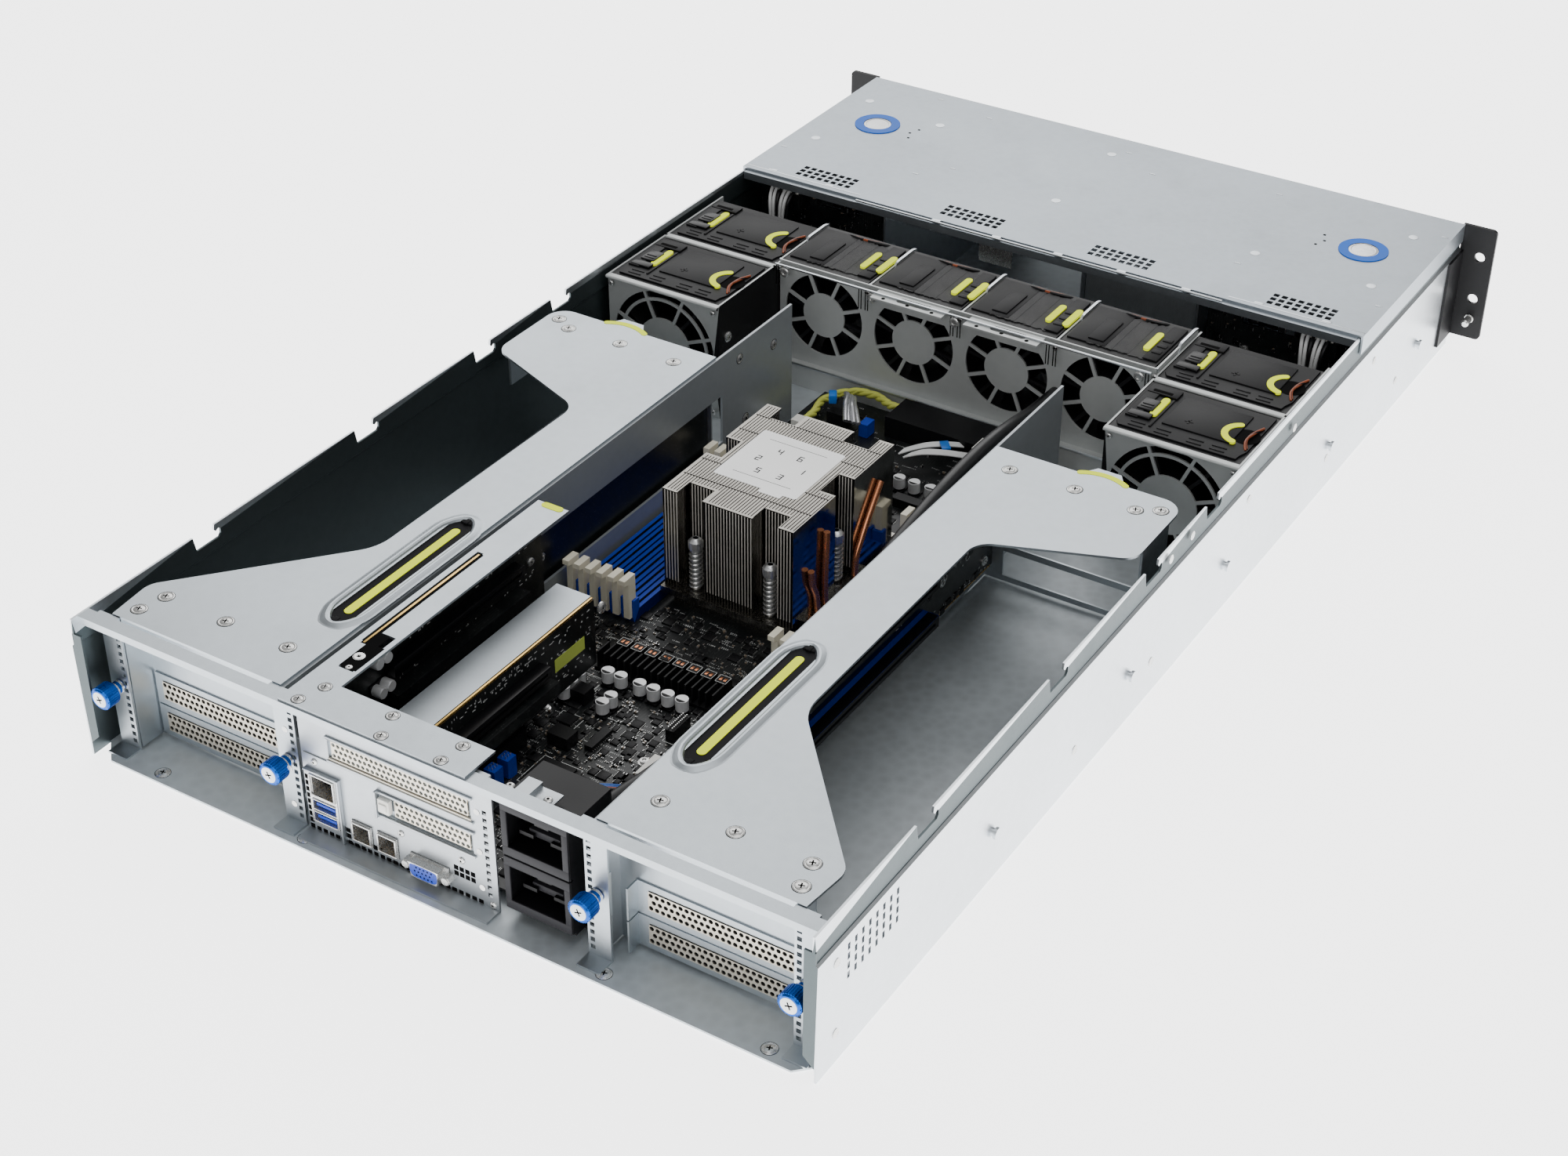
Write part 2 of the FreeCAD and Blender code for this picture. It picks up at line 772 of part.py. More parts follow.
# Front end
def frontFrame():
    """The front plate with drive and supply openings, and the partitions behind it."""
    plate = Piece("front_plate")
    back = front + d.frontThick
    top = d.wallTop
    plate.add("y", front, back, rectangle((-frameHalf, frameHalf), (d.sheet, top)))
    bays = [rectangle(sided(side, bayInner, bayOuter), level) for side in (1, -1) for level in bayLevels]
    supplies = [rectangle((supplyLeft, supplyRight), level) for level in supplyLevels]
    plate.cut("y", front, back, *bays, *supplies)
    plate.cut("y", front, back, Round(d.powerButtonX, d.powerButtonZ, d.powerButtonRadius + d.runningGap))
    air = plate.cut("y", front, back, centred(d.gridStart, 2 * d.gridPitch, d.gridHole, d.gridHole))
    plate.grid([air], d.gridPitch, d.gridColumns, d.gridPitch, d.gridRows)
    high = bayLevels[1][1] + d.bayGap
    for side in (1, -1):
        span = sided(side, bayInner + 6, bayOuter - 6)
        upper = plate.cut("y", front, back, centred(span[0], high + 14, d.gridHole, d.gridHole))
        plate.grid([upper], d.gridPitch, d.gridColumns)
    parts = [plate.body]
    length = (back, front + d.lidDepth - 8)
    short = (back, front + d.shelfEnd)
    for side in (1, -1):
        parts.append(box("partition", sided(side, bayInner - d.sheet, bayInner), length, (d.sheet, top)))
        for level in (bayLevels[0][1], bayLevels[1][1]):
            parts.append(box("shelf", sided(side, bayInner, inside), short, (level, level + d.bayGap)))
    for x in (supplyLeft - d.sheet, supplyRight):
        parts.append(box("supply_wall", (x, x + d.sheet), length, (d.sheet, top)))
    level = supplyLevels[0][1]
    parts.append(box("supply_shelf", (supplyLeft, supplyRight), length, (level, level + d.bayGap)))
    return keep("front_frame", group("front_frame", *parts))


def backplanes():
    """Circuit boards across the rear ends of the drive bays, with a connector block each."""
    boards = []
    place = front + d.carrierDepth + 8
    for side in (1, -1):
        board = Piece("backplane")
        board.add("y", place, place + d.boardThick, rectangle(
            sided(side, bayInner + 1, bayOuter - 1), (d.sheet, d.wallTop - 4)))
        board.cut("y", place, place + d.boardThick, rectangle(
            sided(side, bayInner + 24, bayInner + 60), (64, 72)))
        board.add("y", place + d.boardThick, place + 14, rectangle(
            sided(side, bayInner + 66, bayInner + 90), (62, 74)))
        boards.append(board.body)
    return keep("backplanes", group("backplanes", *boards))


def driveCarrier(name, side, level):
    """A tray with its drive and a bezel recessed for the lever."""
    carrier = Piece("tray")
    gap = d.carrierGap
    low, high = level[0] + gap, level[1] - gap
    across = sided(side, bayInner + gap, bayOuter - gap)
    face = front - d.bezelPlate
    carrier.add("y", face, front, rectangle(across, (low, high)))
    middle = (low + high) / 2
    lever = d.leverHeight / 2 + gap
    carrier.cut("y", face, front - 1, rectangle(across, (middle - lever, middle + lever)))
    body = sided(side, bayInner + 2 * gap, bayOuter - 2 * gap)
    carrier.add("y", front, front + d.carrierDepth, rectangle(body, (low, low + d.driveHeight)))
    carrier.cut("y", face, front + 12, *[
        rectangle(sided(side, bayInner + step, bayInner + step + 12), (high - 5, high - 2))
        for step in (8, 26, 44, 62, 80)])
    return keep(name, carrier.body)


def driveLever(name, side, level):
    """A release lever that turns on a pin at the outer end of the bezel."""
    middle = (level[0] + level[1]) / 2
    height = (middle - d.leverHeight / 2, middle + d.leverHeight / 2)
    face = front - d.bezelPlate
    arm = box("arm", sided(side, bayInner + 3, leverPivot), (face, face + d.leverThick - 0.6), height)
    knuckle = rod("knuckle", (side * leverPivot, leverPinY), d.leverPin, *height)
    hook = box("catch", sided(side, bayInner + 3, bayInner + 9), (face - 2, face), height)
    return keep(name, union(name + "_solid", arm, knuckle, hook))


def powerSupply(name, level):
    """A supply module: closed case, grille, fixed handle and release tab."""
    gap = d.carrierGap
    low, high = level[0] + gap, level[0] + gap + d.supplyHeight
    left, right = supplyLeft + gap, supplyRight - gap
    case = Piece("supply")
    case.add("y", front - 1, front + d.supplyDepth, rectangle((left, right), (low, high)))
    grille = case.cut("y", front - 1, front + 3, rectangle((left + 6, left + 10), (low + 6, low + 16)))
    case.grid([grille], 7, 5, 14, 2)
    far = front - 1 - d.supplyHandle
    bar = d.supplyBar
    case.add("x", left + 46, left + 46 + bar, [
        (front - 1, low + 5), (far, low + 5), (far, high - 5), (front - 1, high - 5),
        (front - 1, high - 5 - bar), (far + bar, high - 5 - bar), (far + bar, low + 5 + bar),
        (front - 1, low + 5 + bar)])
    case.add("y", front - 9, front - 1, rectangle((right - 10, right - 6), (low + 10, low + 22)))
    return keep(name, case.body)


def powerButton():
    """The power button, kept behind the front plate by its flange."""
    centre = (d.powerButtonX, d.powerButtonZ)
    back = front + d.frontThick + d.runningGap
    cap = rod("cap", centre, d.powerButtonRadius, front - d.powerButtonReach, back, "y")
    flange = rod("flange", centre, d.powerButtonRadius + 1.5, back, back + 1.5, "y")
    return keep("power_button", union("power_button_solid", cap, flange))


# Fans
def guard(piece, low, high, centre, radii, width, angle=22.5):
    """Opens ring-shaped windows in a plate and bridges them with spokes."""
    features = [piece.cut("y", low, high, *[Round(*centre, radius) for radius in radii])]
    for step in range(4):
        bar = turnedBar(centre, 2 * radii[0] + 1, width, angle + 45 * step)
        features.append(piece.add("y", low, high, bar))
    return features


def middleFanWall():
    """The stepped fan wall: four spoked openings in one sheet, and dividers between the fans."""
    wall = Piece("fan_wall")
    face = wallRear
    back = face - d.sheet
    reach = d.fanPitch * d.fanCount / 2
    foot = face + d.ledgeDepth
    wall.add("x", -reach, reach, [
        (back, d.fanWallTop), (face, d.fanWallTop), (face, d.ledgeHeight),
        (foot, d.ledgeHeight), (foot, d.sheet), (foot - d.sheet, d.sheet),
        (foot - d.sheet, d.ledgeHeight - d.sheet), (back, d.ledgeHeight - d.sheet)])
    first = (d.fanPitch / 2 - reach, d.fanHeight)
    wall.grid(guard(wall, back, face, first, (d.fanAperture, d.fanHub), d.spokeWidth), d.fanPitch, d.fanCount)
    parts = [wall.body]
    depth = (back - d.moduleDepth - d.dividerReach, back)
    shelf = d.fanHeight - d.moduleHeight / 2 - d.runningGap
    parts.append(box("fan_shelf", (-reach, reach), depth, (shelf - d.sheet, shelf)))
    parts.append(box("shelf_leg", (-reach, reach), (depth[0], depth[0] + d.sheet), (d.sheet, shelf - d.sheet)))
    for index in range(dimensions["fanCount"] + 1):
        middle = d.fanPitch * index - reach
        parts.append(box("divider", (middle - d.sheet / 2, middle + d.sheet / 2), depth, (shelf, d.fanWallTop)))
    for middle in (d.fanPitch / 2, -d.fanPitch / 2):
        hook = Piece("hook_plate")
        hook.add("x", middle - 25, middle + 25, [
            (face, d.fanWallTop - 12), (face + d.sheet, d.fanWallTop - 12),
            (face + d.sheet, d.fanWallTop - 2), (face + 12, d.fanWallTop - 2),
            (face + 12, d.fanWallTop - 2 + d.sheet), (face, d.fanWallTop - 2 + d.sheet)])
        hook.cut("z", d.fanWallTop - 2, d.fanWallTop - 2 + d.sheet,
                 rectangle((middle - 15, middle + 9), (face + 3, face + 9)))
        hook.soften(2.5, "z", *[(middle + x, face + y) for x in (-15, 9) for y in (3, 9)])
        parts.append(hook.body)
    return keep("middle_fan_wall", group("middle_fan_wall", *parts))


def fanModule(name, place, width, height, depth, bore, hub):
    """A fan housing: square frame, round duct and a motor seat held by struts."""
    frame = Piece("housing")
    frame.add("y", -depth, 0, centred(0, 0, width, height))
    frame.cut("y", -depth, 0, Round(0, 0, bore))
    frame.add("y", -d.seatDepth, 0, Round(0, 0, hub))
    for angle in (0, 60, 120):
        frame.add("y", -d.seatDepth, 0, turnedBar((0, 0), 2 * bore + 1, d.spokeWidth, angle + 10))
    frame.cut("z", height / 2 - d.gripSlotDepth, height / 2, *[
        centred(side * (width / 2 - 12), -depth / 2, 9, depth - 22) for side in (1, -1)])
    frame.place(*place)
    return keep(name, frame.body)


def fanRotor(name, place, depth, bore, hub):
    """A motor cup with pitched blades."""
    rotor = Piece("rotor")
    seat = -d.seatDepth - d.runningGap
    end = d.rotorSet - depth
    rotor.spin([(0, end), (hub - 2, end), (hub, end + 2), (hub, seat), (0, seat)])
    wide = bore / 4
    low, high = end + 3, seat - 3
    middle = (low + high) / 2 - 2
    blade = rotor.add("z", hub - 1, bore - d.tipGap, [
        (-wide, low), (0, middle), (wide, high), (wide, high + d.bladeThick),
        (0, middle + d.bladeThick), (-wide, low + d.bladeThick)])
    rotor.around(blade, d.bladeCount)
    rotor.place(*place)
    return keep(name, rotor.body)


def sideFanCages():
    """Steel frames round the side fans, with a ringed guard at the rear of each fan."""
    parts = []
    for side in (1, -1):
        outer = sided(side, d.sideFanInner, d.sideFanOuter)
        for row in range(2):
            face = sideRear - d.sideFanPitch * row
            plate = Piece("guard_plate")
            plate.add("y", face - d.sheet, face, rectangle(outer, (d.sheet, d.sideFanTop)))
            radii = (d.sideFanAperture, d.sideFanRing + d.ringWidth, d.sideFanRing, d.sideFanHub)
            guard(plate, face - d.sheet, face, (side * sideMiddle, sideFanHeight), radii, d.ringWidth)
            plate.add("z", d.sideFanTop - d.sheet, d.sideFanTop, rectangle(outer, (face, face + 2)))
            plate.add("x", *outer, Round(face + 2, d.sideFanTop - d.hemRadius, d.hemRadius))
            parts.append(plate.body)
        for low, high in ((d.sideFanInner, d.sideFanInner + d.sheet), (d.sideFanOuter - d.sheet, d.sideFanOuter)):
            for row in range(2):
                face = sideRear - d.sideFanPitch * row
                span = (face - d.sideFanPitch, face - d.sheet)
                parts.append(box("cage_side", sided(side, low, high), span, (d.sheet, d.sideFanTop)))
    return keep("side_fan_cages", group("side_fan_cages", *parts))


# Card cages
def cagePlate(side):
    """The cage's top plate: a long arm between a wide rear end and a wide front end."""
    plate = Piece("cage_top")
    inner, arm, outer = d.cageInner, d.cageInner + d.armWidth, d.cageInner + 114
    back = cageRear
    outline = [
        (inner, back), (outer - 3, back), (outer, back - 29), (arm + 1, back - 118),
        (arm, back - 290), (outer, back - 320), (outer, cageFront), (inner + 78, cageFront),
        (inner + 72, cageFront - 9), (inner + 58, cageFront - 9), (inner + 52, cageFront),
        (inner, cageFront)]
    plate.add("z", cageLow, d.cageTop, [(side * across, up) for across, up in outline])
    plate.soften(12, "z", (side * outer, back - 29), (side * outer, back - 320), (side * outer, cageFront))
    plate.soften(28, "z", (side * (arm + 1), back - 118))
    plate.soften(14, "z", (side * arm, back - 290))
    grip = rectangle(sided(side, d.gripInner, d.gripInner + d.gripWidth), (gripStart, gripEnd))
    plate.cut("z", cageLow, d.cageTop, grip)
    return plate.body


def cageWeb(side):
    """The upright web along the cage, with its board window and screw notch."""
    web = Piece("cage_web")
    span = sided(side, d.cageInner - d.cageWebThick, d.cageInner)
    web.add("x", *span, rectangle((cageRear - d.cageWebLength, cageRear - 0.2), (d.cageFloorGap, cageLow)))
    web.cut("x", *span, rectangle((cageFront - 4, cageFront + 180), (26, 58)))
    notch = d.screwShank + 3
    web.cut("x", *span, rectangle((cageRear - notch - 2, cageRear), (d.cageFloorGap, d.screwHeight + 4)))
    return web.body


def tabPlate(side, middle, edges):
    """A tab with a slot, open below, that drops over a thumbscrew's shank."""
    tab = Piece("screw_tab")
    ends = (cageRear - d.cageWebThick, cageRear - d.runningGap / 2)
    low, high = d.screwHeight - 12, d.screwHeight + 14
    tab.add("y", *ends, rectangle(sided(side, *edges), (low, high)))
    slot = d.screwRadius + d.screwGap
    tab.cut("y", *ends, rectangle((side * middle - slot, side * middle + slot), (low, d.screwHeight + slot)))
    return tab.body


def slotFrame(side, outer):
    """The upright plate with two card slots, set forward of the cage's rear end."""
    frame = Piece("slot_frame")
    face = cageRear - d.slotFrameSet
    frame.add("y", face - d.sheet, face, rectangle(sided(side, d.cageInner, outer), (d.cageFloorGap, cageLow)))
    frame.cut("y", face - d.sheet, face, *[
        rectangle(sided(side, d.slotInner, d.slotOuter), level) for level in slotLevels])
    return frame.body


def endPlate(side, outer):
    """The plate across the cage's front end, with two wide openings."""
    end = Piece("end_plate")
    place = (cageFront + 5, cageFront + 5 + d.sheet)
    wide = sided(side, d.cageInner + 11, outer - 6)
    end.add("y", *place, rectangle(sided(side, d.cageInner, outer), (d.cageFloorGap, cageLow)))
    end.cut("y", *place, rectangle(wide, (6.5, 23)), rectangle(wide, (27, 56)))
    return end.body


def cardCage(name, side):
    """A lift-out card cage: top plate, web, slotted rear frame, end plate, tabs, covers and grip."""
    outer = d.slotOuter + 3
    ends = (cageRear - d.slotFrameSet, cageRear - d.runningGap / 2)
    rail = box("cage_side", sided(side, outer, outer + d.sheet), ends, (d.cageFloorGap, cageLow))
    guide = box("guide", sided(side, d.cageInner + 112.6, d.cageInner + 114),
                (cageFront + 20, cageFront + 52), (57, cageLow))
    parts = [
        cagePlate(side), cageWeb(side), slotFrame(side, outer), endPlate(side, outer), rail, guide,
        tabPlate(side, d.innerPostX, (d.innerPostX - 6, d.innerPostX + 6)),
        tabPlate(side, d.outerPostX, (outer + d.sheet, d.outerPostX + 6)),
        cageGrip(side)]
    return keep(name, group(name, *parts, *slotCovers(side)))


def cageGrip(side):
    """The moulded grip that fills the long opening in a cage's top plate."""
    grip = Piece("grip")
    gap = d.runningGap / 2
    across = sided(side, d.gripInner + gap, d.gripInner + d.gripWidth - gap)
    ends = (gripStart + gap, gripEnd - gap)
    grip.add("z", cageLow, d.cageTop - d.cageThick / 2, rectangle(across, ends))
    grip.soften(5, "z", *[(x, y) for x in across for y in ends])
    lip = sided(side, d.gripInner - 2, d.gripInner + d.gripWidth + 2)
    grip.add("z", cageLow - d.gripDepth, cageLow, rectangle(lip, (gripStart + 8, gripEnd - 8)))
    return grip.body


def slotCovers(side):
    """Two blanking plates over a cage's card slots, each with a folded screw tab."""
    covers = []
    face = cageRear - d.slotFrameSet
    back = face + d.coverThick
    edge = d.slotInner - 4
    for low, high in slotLevels:
        cover = Piece("cover")
        level = (low - 1.4, high + 1.4)
        cover.add("y", face, back, rectangle(sided(side, edge, d.slotOuter + 2), level))
        cover.add("x", *sided(side, edge, edge + d.coverThick), rectangle((back, face + 9), level))
        covers.append(cover.body)
    return covers


def riserBoard(name, side):
    """A tall circuit board on the outer face of a cage's web, with two card slots."""
    start = cageRear - d.riserBoardSet
    face = d.cageInner + 2.5
    far = face + d.boardThick
    board = box("riser", sided(side, face, far), (start - d.riserBoardLength, start),
                (d.riserBoardLow, d.riserBoardTop))
    parts = [board]
    for low, length in ((46, 160), (20, 150)):
        parts.append(box("card_slot", sided(side, far, far + 10), (start - 250, start - 250 + length), (low, low + 7)))
    for y in (start - 12, start - 315):
        for z in (19, 71):
            bar = rod("spacer", (y, z), d.standoffRadius, *sided(side, d.cageInner, face), "x")
            parts.append(bar)
    return keep(name, union(name + "_solid", *parts))


# Rear end
panelSlots = [((-21, 66), (52.5, 65.5)), ((-21, 35), (32, 44.5))]
stackPort = ((63, 81), (8, 39.5))
jackPorts = [((42.5, 55.5), (6.8, 20)), ((26.5, 39.5), (6.8, 20))]
videoPort = ((-5, 19), (5.5, 16))


def rearPost(side, middle):
    """A flanged post with a column of square holes and a thumbscrew hole."""
    post = Piece("post")
    edges = (middle - d.postWidth / 2, middle + d.postWidth / 2)
    top = d.wallTop - d.sheet
    post.add("y", panelBack, panelFace, rectangle(sided(side, *edges), (d.sheet, top - d.sheet)))
    post.add("z", top - d.sheet, top, rectangle(sided(side, *edges), (panelBack, rear - d.barSet - d.sheet)))
    post.add("z", d.sheet, d.sheet * 2, rectangle(sided(side, *edges), (panelFace, panelFace + d.footLength)))
    post.cut("y", panelBack, panelFace, Round(side * middle, d.screwHeight, d.screwRadius + d.screwGap))
    column = side * middle - side * (d.postWidth / 2 - 2.6)
    hole = post.cut("y", panelBack, panelFace, centred(column, d.squarePitch * 1.5, d.squareHole, d.squareHole))
    post.grid([hole], d.squarePitch, 1, d.squarePitch, 16)
    return post.body


def rearFrame():
    """The bar across the rear opening and the four posts under it."""
    bar = Piece("crossbar")
    reach = frameHalf
    ends = (rear - d.barSet - d.barDepth, rear - d.barSet)
    low = d.wallTop - d.sheet
    bar.add("x", -reach, reach, [
        (ends[0], d.wallTop), (ends[1], d.wallTop), (ends[1], low - 3),
        (ends[1] - d.sheet, low - 3), (ends[1] - d.sheet, low), (ends[0], low)])
    posts = [rearPost(side, middle) for side in (1, -1) for middle in (d.outerPostX, d.innerPostX)]
    return keep("rear_frame", group("rear_frame", bar.body, *posts))



def ioPanel():
    """The connector panel, with ports, two slots and a row of small air holes."""
    panel = Piece("io_panel")
    top = d.wallTop - d.sheet
    right = d.panelRight
    panel.add("y", panelBack, panelFace, rectangle((right, d.panelLeft), (d.sheet, top - d.sheet)))
    panel.add("z", top - d.sheet, top, rectangle((right, d.panelLeft), (panelBack, rear - d.barSet - d.sheet)))
    panel.add("z", d.sheet, 2 * d.sheet, rectangle((right, d.panelLeft), (panelFace, panelFace + d.footLength)))
    wide, narrow = panelSlots
    panel.cut("y", panelBack, panelFace, rectangle(*wide), rectangle(*narrow), rectangle(*stackPort),
              *[rectangle(*port) for port in jackPorts], rectangle(*videoPort))
    hole = panel.cut("y", panelBack, panelFace, centred(right + 11, d.sheet + 1.8, d.panelHole, d.panelHole))
    panel.grid([hole], d.panelHolePitch, d.panelHoleCount)
    column = panel.cut("y", panelBack, panelFace, centred(right + 5, 10, d.squareHole, d.squareHole))
    panel.grid([column], d.squarePitch, 1, d.squarePitch, 13)
    return keep("rear_io_panel", panel.body)


def connector(name, opening, depth, *mouths):
    """A connector shell that fills an opening, with its mouths cut from the rear."""
    gap = d.runningGap
    (left, right), (low, high) = opening
    shell = Piece(name)
    shell.add("y", panelFace - depth, panelFace + 1, rectangle((left + gap, right - gap), (low + gap, high - gap)))
    for mouth in mouths:
        shell.cut("y", panelFace + 1 - d.mouthDepth, panelFace + 1, rectangle(*mouth))
    return shell


def ioPorts():
    """Network, serial-bus and video connectors behind the panel."""
    (left, right), (low, high) = stackPort
    bus = [((left + 1.7, right - 1.7), (low + up, low + up + 5.2)) for up in (1.8, 9.4)]
    jack = [((left + 2.6, right - 2.6), (high - 13.2, high - 2.2))]
    shells = [connector("stack_port", stackPort, d.portDepth, *bus, *jack).body]
    for port in jackPorts:
        (near, far), (down, up) = port
        mouth = ((near + 1.2, far - 1.2), (down + 1.4, up - 2.2))
        shells.append(connector("jack_port", port, d.portDepth, mouth).body)
    (near, far), (down, up) = videoPort
    video = connector("video_port", videoPort, d.portDepth / 2)
    rim = 3
    video.add("y", panelFace + 1, panelFace + 6, [
        (near + rim, up - 1), (near + rim + 1.2, down + 1), (far - rim - 1.2, down + 1), (far - rim, up - 1)])
    video.add("y", panelFace + 1, panelFace + 5, *[
        Round(x, (down + up) / 2, 2) for x in (near - 1.6 + rim / 2, far + 1.6 - rim / 2)])
    shells.append(video.body)
    return keep("io_ports", group("io_ports", *shells))


def powerInlet(level):
    """A deep appliance inlet with three flat pins."""
    inlet = Piece("inlet")
    middle = level + d.inletHeight / 2
    inlet.add("y", panelFace - d.inletDepth, panelFace, centred(d.inletX, middle, d.inletWidth, d.inletHeight))
    inlet.cut("y", panelFace - d.socketDepth, panelFace, centred(d.inletX, middle, d.socketWidth, d.socketHeight))
    inlet.add("y", panelFace - d.socketDepth - 1, panelFace - 5, *[
        centred(d.inletX + x, middle + z, 8, 2) for x, z in ((0, 4.5), (-9, -4), (9, -4))])
    return inlet.body


def powerInlets():
    levels = (d.inletBottom, d.inletBottom + d.inletPitch)
    feet = box("inlet_foot", (d.inletX - d.inletWidth / 2, d.inletX + d.inletWidth / 2),
               (panelFace - d.inletDepth, panelFace - 2), (boardTop, d.inletBottom))
    spacer = box("inlet_spacer", (d.inletX - d.inletWidth / 2, d.inletX + d.inletWidth / 2),
                 (panelFace - d.inletDepth, panelFace - 2),
                 (levels[0] + d.inletHeight, levels[1]))
    return keep("power_inlets", group("power_inlets", feet, spacer, *[powerInlet(level) for level in levels]))


def thumbscrew(name, side, middle):
    """A captive thumbscrew: grooved knob, collar and shank."""
    screw = Piece("thumbscrew")
    knob = d.knobSet
    end = knob + d.knobLength
    screw.spin([
        (0, -d.screwShank - d.sheet), (d.screwRadius, -d.screwShank - d.sheet), (d.screwRadius, d.runningGap),
        (d.screwRadius + 1.6, d.runningGap), (d.screwRadius + 1.6, knob), (d.knobRadius - 0.6, knob),
        (d.knobRadius, knob + 0.6), (d.knobRadius, end - 1), (d.knobRadius - 1, end), (0, end)])
    groove = screw.cut("y", knob, end, centred(d.knobRadius, 0, 1, 1))
    screw.around(groove, d.knobGrooves)
    screw.place(side * middle, panelFace, d.screwHeight)
    return keep(name, screw.body)


# Main board
def mainBoard():
    """The circuit board, cut round the fans' front edge."""
    board = box("main_board", (-d.boardHalf, d.boardHalf), (boardFront, boardRear), (d.boardHeight, boardTop))
    return keep("main_board", board)


def boardBlock(x, y, height, width, length):
    """A block that stands on the board, given by its middle."""
    return box("block", (x - width / 2, x + width / 2), (y - length / 2, y + length / 2),
               (boardTop, boardTop + height))


def boardParts():
    """Chokes, driver coolers, capacitors, chips and connectors on the board."""
    parts = []
    row = bracketEnd
    for index in range(8):
        parts.append(boardBlock(32.3 - 9.1 * index, row, 8, 7, 7))
    parts.append(boardBlock(-0.5, row + 14, 2, 78, 12))
    for index in range(18):
        parts.append(boardBlock(36.5 - 4.35 * index, row + 14, 12, 0.9, 11))
    for x, set in ((36.2, 176), (36, 169), (36, 162), (24.3, 186), (16, 186), (3.8, 186), (-5, 186),
                   (-14.2, 186), (-23.2, 186), (10.4, 169), (11, 162), (-9.7, 438), (-19.9, 438), (-31, 438)):
        parts.append(rod("capacitor", (x, rear - set), d.capRadius, boardTop, boardTop + d.capHeight))
    for x, set, height, width, length in (
            (27.6, 167, 8, 9, 9), (23.6, 148, 1.6, 9, 8), (14.2, 131, 8, 13, 9.5), (-0.5, 142, 3, 5, 18),
            (4, 106, 1.8, 20, 20), (-31.4, 170, 7, 5, 16), (-40, 132, 8, 6, 18), (22.6, 84, 12, 7, 7),
            (22.6, 95, 12, 7, 7), (-4, 500, 14, 66, 26), (76, 464, 9, 9, 8), (39.6, 483, 9, 6, 9), (-37.9, 487, 16, 5, 14),
            (60, 484, 9, 14, 7), (-24.7, 423.5, 6, 20, 7), (82, 150, 11, 7, 90), (32.4, 90, 11, 7, 60)):
        parts.append(boardBlock(x, rear - set, height, width, length))
    return keep("board_components", group("board_components", *parts))


def memorySocket(side, index):
    """A memory socket: long slotted bar with a raised tower at each end."""
    middle = side * (d.socketFirst + d.socketPitch * index)
    socket = Piece("memory_socket")
    edges = (middle - d.socketThick / 2, middle + d.socketThick / 2)
    ends = (d.socketCentre - d.socketLength / 2, d.socketCentre + d.socketLength / 2)
    socket.add("x", *edges, [
        (ends[0], boardTop), (ends[1], boardTop), (ends[1], boardTop + d.socketRise),
        (ends[1] - 5, boardTop + d.socketRise), (ends[1] - 5, boardTop + 7), (ends[0] + 5, boardTop + 7),
        (ends[0] + 5, boardTop + d.socketRise), (ends[0], boardTop + d.socketRise)])
    socket.cut("z", boardTop + 2, boardTop + 7, centred(middle, d.socketCentre, 1.6, d.socketLength - 12))
    return socket.body


def memorySockets():
    sockets = [memorySocket(side, index) for side in (1, -1) for index in range(dimensions["socketCount"])]
    return keep("dimm_sockets", group("dimm_sockets", *sockets))


def memoryLatches(name, end):
    """The ejector latches at one end of the sockets."""
    latches = []
    near = d.socketCentre + end * d.socketLength / 2
    base = boardTop + d.socketRise + d.runningGap
    top = boardTop + d.latchRise
    for side in (1, -1):
        for index in range(dimensions["socketCount"]):
            middle = side * (d.socketFirst + d.socketPitch * index)
            latch = Piece("latch")
            foot = near + end * 0.4
            latch.add("x", middle - 2, middle + 2, [
                (foot, boardTop + 3), (foot + end * 2.4, boardTop + 3), (foot + end * 2.4, top - 4),
                (foot + end * d.latchDepth, top - 3), (foot + end * d.latchDepth, top),
                (foot - end * 4, top), (foot - end * 4, base), (foot, base)])
            latches.append(latch.body)
    return keep(name, group(name, *latches))


# Processor cooler
def coolerFins():
    """The stack of cooling fins under the sheet made by their folded edges."""
    stack = Piece("fins")
    width, length = finWidth / 2, d.finLength / 2
    notch = [centred(side * d.notchX, end * (length - d.notchDeep / 2), d.notchWidth, d.notchDeep)
             for side in (1, -1) for end in (1, -1)]
    waist = [rectangle(sided(side, width - d.sideNotchDeep, width), (-d.sideNotch / 2, d.sideNotch / 2))
             for side in (1, -1)]
    stack.add("z", d.finBottom, d.finTop, rectangle((-width, width), (-length, length)))
    stack.cut("z", d.finBottom, d.finTop, *notch, *waist)
    gap = d.finPitch - d.finThick
    slot = stack.cut("z", d.finBottom, d.finTop - d.finThick, rectangle(
        (d.finThick - width, d.finPitch - width), (-length, length)))
    stack.grid([slot], d.finPitch, d.finCount - 1)
    stack.place(d.coolerX, d.coolerY, 0)
    return keep("cooler_fins", stack.body)


def coolerBase():
    """Load frame and base plate under the fins."""
    frame = box("load_frame", (d.coolerX - 37, d.coolerX + 37), (d.coolerY - 52, d.coolerY + 52),
                (boardTop, d.finBottom - d.basePlateThick))
    width, length = d.basePlateWidth / 2, d.basePlateLength / 2
    plate = box("base_plate", (d.coolerX - width, d.coolerX + width), (d.coolerY - length, d.coolerY + length),
                (d.finBottom - d.basePlateThick, d.finBottom))
    side = d.coolerX - finWidth / 2
    foot = box("pipe_foot", (side - 2 * d.pipeRadius, d.coolerX - width), (d.coolerY - 20, d.coolerY + 45),
               (d.finBottom - d.basePlateThick, d.finBottom))
    return keep("cooler_base", group("cooler_base", frame, plate, foot, *coolerPipes()))


